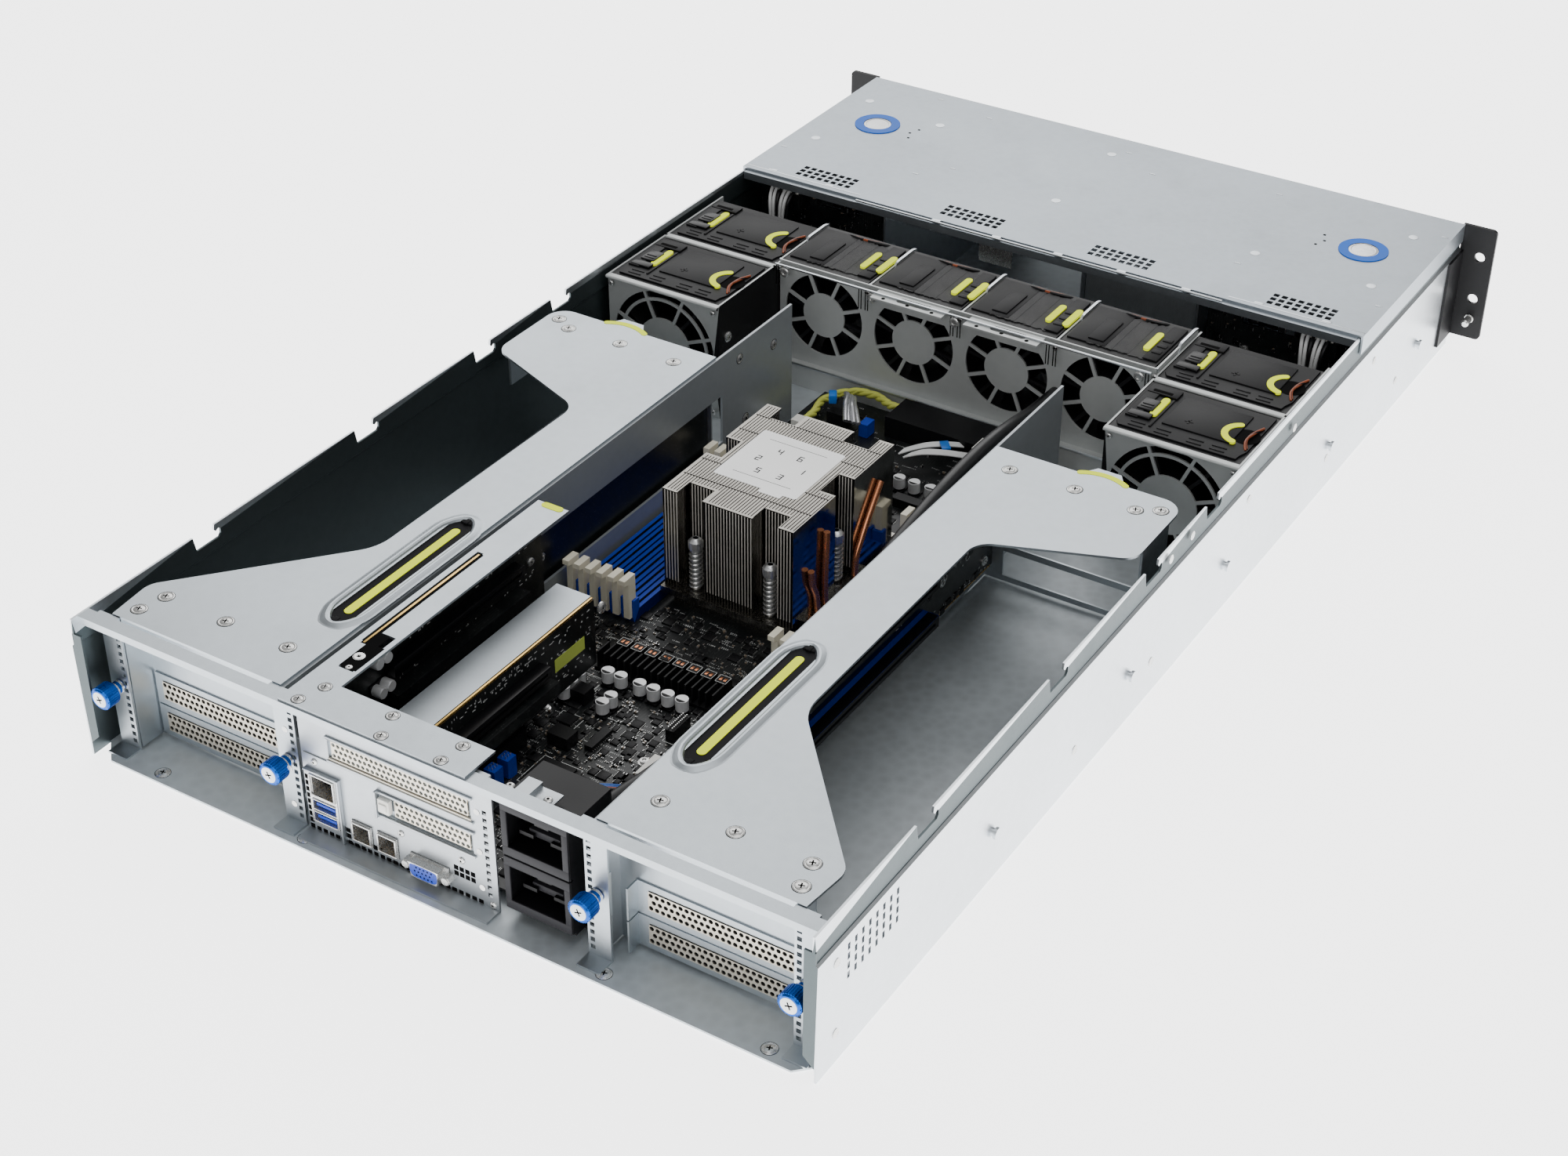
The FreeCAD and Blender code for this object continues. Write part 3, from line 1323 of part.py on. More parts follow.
def coolerPipes():
    """Heat pipes that rise from the base along one side of the fins."""
    out = d.coolerX - finWidth / 2 - d.pipeRadius - 0.1
    routes = [
        [(-9, 0), (-10, 12), (-22, 30), (-36, 48)],
        [(23, 0), (23.5, 16), (22.5, 30), (22, 46)],
        [(31, 0), (32, 10), (37, 20), (38, 29)]]
    return [
        tube("heat_pipe", [(out, d.coolerY + along, d.finBottom + up) for along, up in route], d.pipeRadius)
        for route in routes]


def coolerScrews():
    """Spring-loaded screws: head, spring sleeve and the screw inside it."""
    parts = []
    length = d.finLength / 2 - d.notchDeep / 2 + 1
    waist = finWidth / 2 - d.sideNotchDeep / 2
    places = [(side * d.notchX, end * length) for side in (1, -1) for end in (1, -1)]
    places += [(side * waist, 0) for side in (1, -1)]
    for x, y in places:
        centre = (d.coolerX + x, d.coolerY + y)
        spring = without("spring", rod("coil", centre, d.springRadius, d.finBottom, d.springTop),
                         rod("hollow", centre, d.springRadius - d.springWall, d.finBottom, d.springTop))
        head = rod("head", centre, d.springRadius, d.springTop, d.springTop + d.coolerScrewHead)
        stem = rod("stem", centre, d.springRadius - d.springWall - 0.8, d.finBottom, d.springTop)
        parts += [spring, union("screw", head, stem)]
    return keep("cooler_screws", group("cooler_screws", *parts))


# Riser bracket over the middle slots
def riserBracket():
    """The L-shaped bracket over the middle slots and the lower plate beside it."""
    top = Piece("riser_plate")
    low = d.wallTop
    high = low + d.bracketThick
    left, right = d.bracketLeft, d.bracketRight
    back = rear - 5
    leg = back - d.bracketRearLeg
    armRight = left - d.bracketArm
    top.add("z", low, high, [
        (right, back), (right, leg), (armRight, leg), (armRight, bracketEnd), (left, bracketEnd), (left, back)])
    top.cut("z", low, high, rectangle((left - 7.2, left - 3.4), (bracketEnd + 57, bracketEnd + 150)),
            rectangle((left - 17, left - 8), (bracketEnd + 140, bracketEnd + 173)))
    top.add("x", left - d.sheet, left, rectangle((bracketEnd + 1, bracketEnd + 16), (40, low)))
    lower = Piece("low_plate")
    shelf = d.lowPlateHeight
    inner, outer = left - 52.4, left - 30.4
    lower.add("z", shelf - d.sheet, shelf, rectangle((inner, outer), (bracketEnd + 27, panelBack - d.coverThick)))
    lower.add("x", outer - d.sheet, outer, rectangle((bracketEnd + 27, bracketEnd + 60), (boardTop + 0.3, shelf)))
    return keep("riser_bracket", group("riser_bracket", top.body, lower.body, *middleSlotCovers()))


def middleSlotCovers():
    """Blanking plates behind the two middle card slots."""
    return [
        box("slot_cover", (left - 2, right + 2), (panelBack - d.coverThick, panelBack), (low - 1.2, high + 1.2))
        for (left, right), (low, high) in panelSlots]


def riserBoards():
    """The two upright circuit boards of the middle slots, with their connectors."""
    left = d.bracketLeft
    base = boardTop + 11
    tall = union("tall_riser",
                 box("board", (left - 6, left - 6 + d.boardThick), (bracketEnd + 7, bracketEnd + 178), (base, d.wallTop - 1)),
                 box("slot", (left - 15, left - 6), (bracketEnd + 30, bracketEnd + 140), (44, 51)))
    low = union("low_riser",
                box("board", (left - 54.4, left - 54.4 + d.boardThick), (bracketEnd + 27, bracketEnd + 163),
                    (base, d.lowPlateHeight - d.sheet)),
                box("slot", (left - 64, left - 54.4), (bracketEnd + 72, bracketEnd + 160), (30, 37)))
    return keep("riser_boards", group("riser_boards", tall, low))


# Cables held inside
def internalCables():
    """The supply cable along the right cage and a sleeved lead near the fan wall."""
    inlet = rear - d.ioSet - d.inletDepth
    supply = [(-58.5, 0, 58), (-58.5, 20, 58), (-63, 42, 60), (-72, 66, 62), (-79, 92, 62), (-82, 130, 61),
              (-81, 180, 60), (-82, 232, 61), (-81, 284, 60), (-80, 334, 60), (-77, 380, 57), (-71, 420, 52),
              (-66, 452, 48), (-66, 478, 48)]
    supply = [(x, inlet - back, up) for x, back, up in supply]
    lead = [(76, 68, 12), (76, 80, 12), (78.8, 93.2, 13), (73.7, 105.7, 14), (62.6, 113.3, 15),
            (49.1, 113.3, 15.5), (38, 108.8, 15), (29, 108.8, 15)]
    lead = [(x, -back, up) for x, back, up in lead]
    return keep("internal_cables", group("internal_cables", tube("supply_cable", supply, 4.2),
                                         tube("sleeved_lead", lead, 3)))


# Every sub-part
chassisPan()
keep("side_walls", group("side_walls", sideWall(1), sideWall(-1)))
keep("rack_ears", group("rack_ears", *[make(side) for side in (1, -1) for make in (rackEar, earScrew)]))
frontLid()
frontFrame()
backplanes()
powerButton()
middleFanWall()
sideFanCages()
rearFrame()
ioPanel()
ioPorts()
powerInlets()
mainBoard()
boardParts()
memorySockets()
memoryLatches("dimm_latches_rear", 1)
memoryLatches("dimm_latches_front", -1)
coolerBase()
coolerFins()
coolerScrews()
riserBracket()
riserBoards()
internalCables()
for word, side in (("left", 1), ("right", -1)):
    lidButton("lid_button_" + word, side)
    cardCage("card_cage_" + word, side)
    riserBoard("riser_board_" + word, side)
    thumbscrew("thumbscrew_%s_outer" % word, side, d.outerPostX)
    thumbscrew("thumbscrew_%s_inner" % word, side, d.innerPostX)
for number in range(1, 5):
    column = (number - 2.5) * d.fanPitch
    place = (column, wallRear - d.sheet - d.runningGap, d.fanHeight)
    fanModule("middle_fan_%d" % number, place, d.moduleWidth, d.moduleHeight, d.moduleDepth, d.fanAperture, d.fanHub)
    fanRotor("middle_rotor_%d" % number, place, d.moduleDepth, d.fanAperture, d.fanHub)
    side = 1 if number < 3 else -1
    row = (number - 1) % 2
    place = (side * sideMiddle, sideRear - d.sheet - d.runningGap - row * d.sideFanPitch, sideFanHeight)
    fanModule("side_fan_%d" % number, place, d.sideModuleWidth, d.sideModuleHeight, d.sideModuleDepth,
              d.sideFanAperture, d.sideFanHub)
    fanRotor("side_rotor_%d" % number, place, d.sideModuleDepth, d.sideFanAperture, d.sideFanHub)
    driveCarrier("drive_carrier_%d" % number, side, bayLevels[row])
    driveLever("drive_lever_%d" % number, side, bayLevels[row])
powerSupply("power_supply_1", supplyLevels[0])
powerSupply("power_supply_2", supplyLevels[1])
doc.recompute()

# Checks, then one file for each sub-part
faulty = [item.Label for item in doc.Objects if {"Invalid", "Error"} & set(item.State)]
if faulty:
    raise SystemExit("faulty: " + ", ".join(faulty))
os.makedirs("parts", exist_ok=True)
for name, feature in nodes.items():
    shape = feature.Shape
    if shape.isNull() or not shape.isValid() or not shape.Solids:
        raise SystemExit("no sound shape: " + name)
    shape.exportStep("parts/%s.step" % name)
    print("%s: %d solids, %.1f cm3" % (name, len(shape.Solids), shape.Volume / 1000))
print("%d sub-parts" % len(nodes))
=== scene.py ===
import math
import random

import bmesh
import bpy
from mathutils import Matrix, Vector


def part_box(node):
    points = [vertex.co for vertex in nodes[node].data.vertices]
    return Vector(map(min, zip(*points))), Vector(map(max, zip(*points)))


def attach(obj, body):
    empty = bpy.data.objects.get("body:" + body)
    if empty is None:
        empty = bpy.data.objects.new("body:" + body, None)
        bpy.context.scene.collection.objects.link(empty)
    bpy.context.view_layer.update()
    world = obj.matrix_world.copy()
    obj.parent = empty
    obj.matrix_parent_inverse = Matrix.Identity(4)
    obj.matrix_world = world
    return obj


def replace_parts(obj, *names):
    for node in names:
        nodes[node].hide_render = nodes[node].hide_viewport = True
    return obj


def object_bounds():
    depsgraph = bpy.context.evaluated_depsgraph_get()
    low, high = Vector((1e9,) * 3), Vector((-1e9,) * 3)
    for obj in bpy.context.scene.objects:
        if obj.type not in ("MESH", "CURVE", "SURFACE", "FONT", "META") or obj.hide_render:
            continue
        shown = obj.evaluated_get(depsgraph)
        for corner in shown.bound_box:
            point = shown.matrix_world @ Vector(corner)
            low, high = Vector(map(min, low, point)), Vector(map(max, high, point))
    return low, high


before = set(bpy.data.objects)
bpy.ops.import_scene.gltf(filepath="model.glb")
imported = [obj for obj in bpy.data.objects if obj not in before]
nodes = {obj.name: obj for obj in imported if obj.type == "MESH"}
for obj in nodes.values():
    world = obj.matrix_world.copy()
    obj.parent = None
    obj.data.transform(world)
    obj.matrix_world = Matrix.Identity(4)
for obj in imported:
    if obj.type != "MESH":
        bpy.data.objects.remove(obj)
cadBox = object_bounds()
unit = 0.001  # sizes below are in millimetres
cadTop = cadBox[1][2] / unit
print("frame loaded:", len(nodes), "nodes")


# ---- shader helpers ----
class Wire:
    # a shader socket that takes part in ordinary arithmetic
    def __init__(self, finish, socket):
        self.finish = finish
        self.socket = socket

    def maths(self, operation, other):
        return self.finish.node("Math", {"operation": operation}, {0: self, 1: other})

    def __add__(self, other):
        return self.maths("ADD", other)

    def __mul__(self, other):
        return self.maths("MULTIPLY", other)

    def __gt__(self, other):
        return self.maths("GREATER_THAN", other)

    def __lt__(self, other):
        return self.maths("LESS_THAN", other)


class Finish:
    # builds one procedural material around its Principled shader
    def __init__(self, name, **plain):
        self.material = bpy.data.materials.new(name)
        self.material.use_nodes = True
        self.tree = self.material.node_tree
        self.shader = self.tree.nodes["Principled BSDF"]
        for label, value in plain.items():
            self.set(label, value)

    def set(self, label, value):
        # label is the socket's name in camelCase
        named = {socket.name.replace(" ", "").lower(): socket for socket in self.shader.inputs}
        self.feed(named[label.lower()], value)

    def feed(self, socket, value):
        if isinstance(value, Wire):
            self.tree.links.new(value.socket, socket)
        elif socket.type == "RGBA" and len(value) == 3:
            socket.default_value = (*value, 1)
        else:
            socket.default_value = value

    def node(self, kind, settings=None, values=None, output=0):
        made = self.tree.nodes.new("ShaderNode" + kind)
        for key, value in (settings or {}).items():
            setattr(made, key, value)
        for key, value in (values or {}).items():
            self.feed(made.inputs[key], value)
        return Wire(self, made.outputs[output])

    def place(self, stretch=(1, 1, 1)):
        # object coordinates in metres, stretched along the axes
        here = self.node("TexCoord", output=3)
        return self.node("Mapping", {}, {"Vector": here, "Scale": stretch})

    def noise(self, scale, detail=3, stretch=(1, 1, 1)):
        return self.node("TexNoise", {}, {"Vector": self.place(stretch), "Scale": scale, "Detail": detail})

    def blend(self, factor, first, second):
        return self.node("Mix", {"data_type": "RGBA"}, {0: factor, 6: first, 7: second}, 2)

    def span(self, wire, low, high, toLow=0.0, toHigh=1.0):
        return self.node("MapRange", {"clamp": True}, {
            "Value": wire, "From Min": low, "From Max": high, "To Min": toLow, "To Max": toHigh})

    def drift(self, wire, colour, dark, light, low=0.3):
        # a colour that wanders between a darker and a lighter shade of itself
        return self.blend(self.span(wire, low, 0.7), shade(colour, dark), shade(colour, light))

    def bump(self, height, depth, strength=1.0):
        settings = {"Height": height, "Distance": depth, "Strength": strength}
        self.set("normal", self.node("Bump", {}, settings))


def tone(red, green, blue):
    # screen values of a colour, turned into the shader's own
    return tuple((c / 255) ** 2.2 for c in (red, green, blue))


def shade(colour, amount):
    return tuple(max(0.0, min(1.0, c * amount)) for c in colour)


# ---- finishes ----
def sheetMetal(name, colour, roughness=0.36, grain=(1, 1, 1), contrast=0.05, metal=1.0, sparkle=0.16):
    # zinc-plated sheet: cloudy tint, fine drawn grain, soft spangle and a few handling marks
    finish = Finish(name, metallic=metal)
    cloud = finish.noise(11, 4)
    spangle = finish.node("TexVoronoi", {}, {"Vector": finish.place(), "Scale": 170})
    lines = finish.noise(900, 2, grain)
    tint = finish.drift(cloud, colour, 1 - contrast, 1 + contrast)
    flake = finish.span(spangle, 0.15, 0.85) * sparkle
    finish.set("baseColor", finish.blend(flake, tint, shade(colour, 1.25)))
    marks = finish.span(finish.noise(24, 5), 0.55, 0.8) * 0.05
    finish.set("roughness", finish.span(lines, 0.2, 0.8, roughness - 0.03, roughness + 0.03) + marks)
    finish.bump(lines * 0.4 + spangle * 0.3, 0.00002, 0.25)
    return finish.material


def mouldedPlastic(name, colour, roughness=0.45, grain=900, depth=0.00004, specular=0.4, glow=0.0):
    # moulded plastic: fine spark texture, faint colour drift and duller patches; glow adds painted light in the
    # plastic's own colour
    finish = Finish(name, specularIorLevel=specular, emissionColor=colour, emissionStrength=glow)
    drift = finish.noise(14, 3)
    finish.set("baseColor", finish.drift(drift, colour, 0.86, 1.12))
    finish.set("roughness", finish.span(drift, 0.25, 0.75, roughness - 0.05, roughness + 0.08))
    finish.bump(finish.noise(grain, 2), depth, 0.4)
    return finish.material


def boardLaminate(name, colour, trace):
    # solder mask over copper: broad pours, fine parallel traces, and vias as small rings
    finish = Finish(name, specularIorLevel=0.5)
    pours = finish.noise(42, 2)
    here = finish.place()
    trackBed = finish.node("TexWave", {"wave_type": "BANDS", "bands_direction": "X"},
                           {"Vector": here, "Scale": 190, "Distortion": 2.5, "Detail": 1})
    tracks = (trackBed > 0.6) * (pours > 0.5)
    vias = finish.node("TexVoronoi", {}, {"Vector": here, "Scale": 420}) < 0.13
    mask = finish.blend(finish.span(pours, 0.42, 0.58) * 0.5, colour, shade(colour, 1.5))
    traced = finish.blend(tracks * 0.5, mask, trace)
    finish.set("baseColor", finish.blend(vias * 0.4, traced, tone(112, 114, 112)))
    finish.set("roughness", finish.span(pours, 0.3, 0.7, 0.3, 0.42))
    finish.bump(tracks * 0.6 + pours * 0.2, 0.00005, 0.5)
    return finish.material


def polishedMetal(name, colour, roughness=0.2, grain=(1, 1, 1), metal=1.0):
    # machined or plated metal with fine tool lines and a slight drift in its shine
    finish = Finish(name, metallic=metal)
    lines = finish.noise(700, 2, grain)
    finish.set("baseColor", finish.drift(finish.noise(60, 3), colour, 0.88, 1.1))
    finish.set("roughness", finish.span(lines, 0.3, 0.7, roughness - 0.05, roughness + 0.07))
    finish.bump(lines, 0.00003, 0.3)
    return finish.material


def jacket(name, colour, roughness=0.4):
    # cable jacket: smooth vinyl with a faint wave from the wires inside
    finish = Finish(name, specularIorLevel=0.45)
    drift = finish.noise(40, 2)
    finish.set("baseColor", finish.drift(drift, colour, 0.85, 1.12))
    finish.set("roughness", finish.span(drift, 0.3, 0.7, roughness - 0.05, roughness + 0.08))
    finish.bump(finish.noise(500, 2), 0.00004, 0.3)
    return finish.material


def woven(name, colour, pitch=700):
    # cloth tape: two crossed sets of threads with a dull sheen and lifted fibres
    finish = Finish(name, specularIorLevel=0.25, sheenWeight=0.4)
    threads = [finish.node("TexWave", {"bands_direction": way},
                           {"Vector": finish.place(), "Scale": pitch, "Distortion": 0.6}) for way in "XY"]
    wear = finish.noise(90, 4)
    finish.set("baseColor", finish.drift(wear, colour, 0.7, 1.9, 0.35))
    finish.set("roughness", finish.span(wear, 0.3, 0.7, 0.5, 0.75))
    finish.bump(threads[0] * 0.5 + threads[1] * 0.5 + wear * 0.6, 0.00025, 0.7)
    return finish.material


zinc = sheetMetal("zincSheet", tone(182, 187, 191), 0.38, metal=0.9)
zincBright = sheetMetal("zincBright", tone(210, 215, 219), 0.32, (1, 0.3, 1))
zincLid = sheetMetal("zincLid", tone(166, 173, 179), 0.42, (0.3, 1, 1))
zincPlate = sheetMetal("zincPlate", tone(182, 189, 194), 0.4)
zincShade = sheetMetal("zincFanWall", tone(186, 189, 188), 0.42, metal=0.4)
# painted shade: a darker copy of the plate zinc for the cages' inward web faces
zincShadedWeb = sheetMetal("zincShadedWeb", tone(158, 164, 168), 0.36, metal=0.45)
# painted shade: a dark copy of zinc for the side walls' inner faces
zincInside = sheetMetal("zincInside", tone(88, 96, 98), 0.5)
zincFloor = sheetMetal("zincFloor", tone(188, 195, 199), 0.5, contrast=0.12, metal=0.6, sparkle=0.5)
nickelCover = sheetMetal("nickelCover", tone(222, 214, 198), 0.34, metal=0.8)
blackPaint = mouldedPlastic("blackPaint", tone(22, 22, 24), 0.5, 1400, 0.00005, 0.25)
blackPlastic = mouldedPlastic("blackPlastic", tone(20, 20, 22), 0.45, specular=0.3)
blackGloss = mouldedPlastic("blackGloss", tone(16, 16, 18), 0.32, specular=0.3)
blackTray = mouldedPlastic("blackTray", tone(24, 24, 26), 0.62, specular=0.12)
greyPlastic = mouldedPlastic("greyPlastic", tone(86, 88, 92), 0.45)
# the yellow marks glow a little: painted light, though the plastic is no lamp
glowingYellowPlastic = mouldedPlastic("glowingYellowStrip", tone(226, 240, 0), 0.5, specular=0.2, glow=0.5)
ivoryPlastic = mouldedPlastic("ivoryLatch", tone(236, 230, 208), 0.4)
bluePlastic = mouldedPlastic("blueSocket", tone(20, 62, 176), 0.35)
# painted shade: a darker copy of the socket blue for the sockets' sides
blueShadedSide = mouldedPlastic("blueSocketShadedSide", tone(12, 30, 92), 0.45, specular=0.2)
whitePlastic = mouldedPlastic("whiteConnector", tone(238, 237, 230), 0.4)
partTan = mouldedPlastic("ceramicPart", tone(116, 104, 90), 0.4)
# the button bezels glow a little: painted light, though the plastic is no lamp
glowingBlueRing = mouldedPlastic("glowingBlueRing", tone(14, 104, 214), 0.45, specular=0.2, glow=0.12)
boardBlack = boardLaminate("boardBlack", tone(22, 24, 25), tone(44, 46, 45))
boardPrint = mouldedPlastic("boardPrint", tone(206, 208, 206), 0.6)
gold = polishedMetal("goldContact", tone(232, 190, 110), 0.25)
steel = polishedMetal("steelScrew", tone(214, 214, 212), 0.26, metal=0.85)
finMetal = polishedMetal("finNickel", tone(142, 139, 133), 0.24, (1, 1, 0.05))
finMirror = polishedMetal("finMirror", tone(168, 166, 160), 0.1, (0.2, 0.2, 0.2))
finEdge = polishedMetal("finEdge", tone(206, 202, 194), 0.34, (1, 1, 0.05), 0.25)
copper = polishedMetal("copperPipe", tone(222, 144, 104), 0.24, metal=0.85)
blueAnodised = polishedMetal("blueAnodised", tone(6, 84, 176), 0.3, metal=0.8)
# the label glows a little: painted light that makes it read whiter
glowingLabelPaper = mouldedPlastic("glowingLabelPaper", tone(250, 251, 250), 0.55, glow=0.3)
inkBlack = mouldedPlastic("labelInk", tone(20, 20, 22), 0.6)
inletFace = mouldedPlastic("inletFace", tone(44, 44, 47), 0.55, 900, 0.00005, 0.2)
# painted shade: a near-black finish laid in holes, slots, recesses, vents and screw drives where only shade
# shows
paintedShadeGap = mouldedPlastic("paintedShadeGap", tone(5, 5, 6), 0.85, specular=0.1)
fanBlack = mouldedPlastic("fanHousing", tone(20, 20, 22), 0.5, 700, 0.00006, 0.22)
steelSatin = polishedMetal("satinButton", tone(216, 217, 218), 0.32, metal=0.85)
capCan = polishedMetal("capacitorCan", tone(222, 223, 224), 0.34, metal=0.35)
blackJacket = jacket("blackJacket", tone(24, 24, 26))
whiteJacket = jacket("whiteJacket", tone(224, 225, 224))
orangeJacket = jacket("orangeJacket", tone(150, 76, 46))
blueJacket = jacket("blueJacket", tone(28, 88, 172))
yellowSleeve = jacket("yellowSleeve", tone(206, 212, 96), 0.6)
clothTape = woven("clothTape", tone(18, 18, 20))
braidSilver = polishedMetal("braidSilver", tone(205, 206, 208), 0.3, (1, 0.2, 1), 0.85)
blueTape = mouldedPlastic("blueTape", tone(30, 112, 205), 0.35)
stickerGreen = mouldedPlastic("plainSticker", tone(196, 214, 96), 0.5)
print("finishes made")


# ---- modelling helpers ----
hands = (("left", 1), ("right", -1))
axisTurns = {"x": Matrix.Rotation(math.pi / 2, 3, "Y"), "y": Matrix.Rotation(-math.pi / 2, 3, "X"),
             "z": Matrix.Identity(3)}
openKits = []


class Kit:
    # gathers small solids of one finish that move with one body; at is the point they are measured from
    def __init__(self, name, finish, body="chassis", angle=35, at=(0, 0, 0), replaces=()):
        self.name = name
        self.finish = finish
        self.body = body
        self.angle = angle
        self.origin = Vector(at)
        self.replaced = replaces
        self.mesh = bmesh.new()
        openKits.append(self)

    def vert(self, spot):
        return self.mesh.verts.new((Vector(spot) + self.origin) * unit)

    def take(self, corners, faces):
        made = [self.vert(corner) for corner in corners]
        for face in faces:
            self.mesh.faces.new([made[index] for index in face])
        return made

    def belt(self, first, second):
        # faces between two rings of corners; a ring of one corner closes to a point
        count = max(len(first), len(second))
        for index in range(count):
            after = (index + 1) % count
            face = [first[index % len(first)], first[after % len(first)],
                    second[after % len(second)], second[index % len(second)]]
            face = list(dict.fromkeys(face))
            if len(face) > 2:
                self.mesh.faces.new(face)

    def tube(self, rings):
        for first, second in zip(rings, rings[1:]):
            self.belt(first, second)
        self.mesh.faces.new(rings[0][::-1])
        self.mesh.faces.new(rings[-1])

    def block(self, centre, size, turn=0.0, axis="Z", soft=0.0):
        # a block about its centre, turned about one axis, with its edges eased
        x, y, z = (s / 2 for s in size)
        spin = Matrix.Rotation(math.radians(turn), 3, axis)
        corners = [spin @ Vector((i * x, j * y, k * z)) + Vector(centre)
                   for k in (-1, 1) for i, j in ((-1, -1), (1, -1), (1, 1), (-1, 1))]
        made = self.take(corners, [(3, 2, 1, 0), (4, 5, 6, 7), (0, 1, 5, 4), (1, 2, 6, 5), (2, 3, 7, 6),
                                   (3, 0, 4, 7)])
        if soft:
            edges = list({edge for vert in made for edge in vert.link_edges})
            bmesh.ops.bevel(self.mesh, geom=edges, offset=soft * unit, segments=2, affect="EDGES",
                            profile=0.5)

    def box(self, low, high, soft=0.0):
        middle = [(a + b) / 2 for a, b in zip(low, high)]
        self.block(middle, [abs(b - a) for a, b in zip(low, high)], soft=soft)

    def stand(self, x, y, base, wide, long, tall, soft=0.0):
        # a block standing on a level
        self.block((x, y, base + tall / 2), (wide, long, tall), soft=soft)

    def lathe(self, centre, profile, axis="z", sides=24, way=1):
        # turns (radius, along) points about an axis; the ends close where the radius is 0
        turn = axisTurns[axis]
        rings = []
        for radius, along in profile:
            ring = []
            for index in range(sides if radius else 1):
                angle = 2 * math.pi * index / sides
                spot = Vector((radius * math.cos(angle), radius * math.sin(angle), along * way))
                ring.append(self.vert(turn @ spot + Vector(centre)))
            rings.append(ring)
        for first, second in zip(rings, rings[1:]):
            self.belt(first, second)

    def prism(self, outline, low, high, axis="z"):
        # a flat outline pushed along an axis; the outline holds the other two coordinates in order
        order = {"z": (0, 1, 2), "y": (0, 2, 1)}[axis]
        self.tube([[self.vert([(*point, level)[index] for index in order]) for point in outline]
                   for level in (low, high)])

    def sieve(self, across, up, pitch, hole, levels):
        # a sheet facing along Y, of staggered cells with a round hole in each
        columns = round((across[1] - across[0]) / pitch)
        rows = round((up[1] - up[0]) / pitch)
        wide, tall = (across[1] - across[0]) / columns, (up[1] - up[0]) / rows
        for row in range(rows):
            odd, base = row % 2, up[0] + row * tall
            for column in range(columns - odd):
                x = across[0] + (column + 0.5 + odd / 2) * wide
                self.cell(x, base + tall / 2, wide / 2, tall / 2, hole, levels)
            for edge in (across[0], across[1] - wide / 2) if odd else ():
                corners = [(a, level, b) for level in levels for b in (base, base + tall)
                           for a in (edge, edge + wide / 2)]
                self.take(corners, ((0, 1, 3, 2), (6, 7, 5, 4)))

    def cell(self, a, b, halfWide, halfTall, hole, levels, sides=8):
        rim, outer = [], []
        for index in range(sides):
            angle = 2 * math.pi * (index + 0.5) / sides
            c, s = math.cos(angle), math.sin(angle)
            rim.append((a + hole * c, b + hole * s))
            reach = min(halfWide / abs(c), halfTall / abs(s))
            outer.append((a + reach * c, b + reach * s))
        inners = []
        for number, level in enumerate(levels):
            inner, edge = [[self.vert((x, level, z)) for x, z in ring] for ring in (rim, outer)]
            corners = {(i, j): self.vert((a + i * halfWide, level, b + j * halfTall))
                       for i in (-1, 1) for j in (-1, 1)}
            inners.append(inner)
            for index in range(sides):
                after = (index + 1) % sides
                face = [inner[index], inner[after], edge[after]]
                first, second = outer[index], outer[after]
                onSide, nextSide = (abs(abs(spot[0] - a) - halfWide) < 1e-6 for spot in (first, second))
                if onSide != nextSide:
                    i = 1 if (first[0] if onSide else second[0]) > a else -1
                    j = 1 if (second[1] if onSide else first[1]) > b else -1
                    face.append(corners[(i, j)])
                face.append(edge[index])
                self.mesh.faces.new(face if number else face[::-1])
        self.belt(*inners)

    def skirt(self, lower, upper, low, high):
        # a band of faces between two outlines at two levels
        self.belt([self.vert((x, y, low)) for x, y in lower], [self.vert((x, y, high)) for x, y in upper])

    def ribbon(self, spots, wide, thick):
        # a strip bent along spots in the YZ plane, of one width and thickness
        rings = []
        for index, spot in enumerate(spots):
            before, after = spots[max(0, index - 1)], spots[min(len(spots) - 1, index + 1)]
            ahead = Vector((0, after[1] - before[1], after[2] - before[2])).normalized()
            rise = Vector((0, -ahead.z, ahead.y)) * (thick / 2)
            across = Vector((wide / 2, 0, 0))
            rings.append([self.vert(Vector(spot) + i * across + j * rise)
                          for i, j in ((-1, -1), (1, -1), (1, 1), (-1, 1))])
        self.tube(rings)

    def helix(self, x, y, low, high, radius, thick, turns, sides=7, steps=20):
        # a coil spring as a swept tube
        rings = []
        count = turns * steps
        for index in range(count + 1):
            angle = 2 * math.pi * index / steps
            level = low + thick + (high - low - 2 * thick) * index / count
            ring = []
            for side in range(sides):
                around = 2 * math.pi * side / sides
                reach = radius + thick * math.cos(around)
                ring.append(self.vert((x + reach * math.cos(angle), y + reach * math.sin(angle),
                                       level + thick * math.sin(around))))
            rings.append(ring)
        self.tube(rings)

    def done(self):
        bmesh.ops.recalc_face_normals(self.mesh, faces=self.mesh.faces)
        data = bpy.data.meshes.new(self.name)
        self.mesh.to_mesh(data)
        self.mesh.free()
        data.shade_smooth()
        data.set_sharp_from_angle(angle=math.radians(self.angle))
        piece = settle(self.name, data, self.finish, self.body)
        if self.replaced:
            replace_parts(piece, *self.replaced)


def settle(name, data, finish, body):
    # new geometry joins the scene and its body, and takes its finish
    data.materials.append(finish)
    piece = bpy.data.objects.new(name, data)
    bpy.context.scene.collection.objects.link(piece)
    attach(piece, body)
    return piece


def closeKits():
    # every kit opened since the last call becomes a piece
    while openKits:
        openKits.pop(0).done()


def screwKits(heads, drives, body="chassis"):
    # screw heads in steel; their drives in the near-black finish of painted shade
    return Kit(heads, steel, body), Kit(drives, paintedShadeGap, body)


def ridges(count, radius):
    # places evenly round a circle, each with its angle
    angles = [2 * math.pi * index / count for index in range(count)]
    return [(radius * math.cos(angle), radius * math.sin(angle), math.degrees(angle)) for angle in angles]


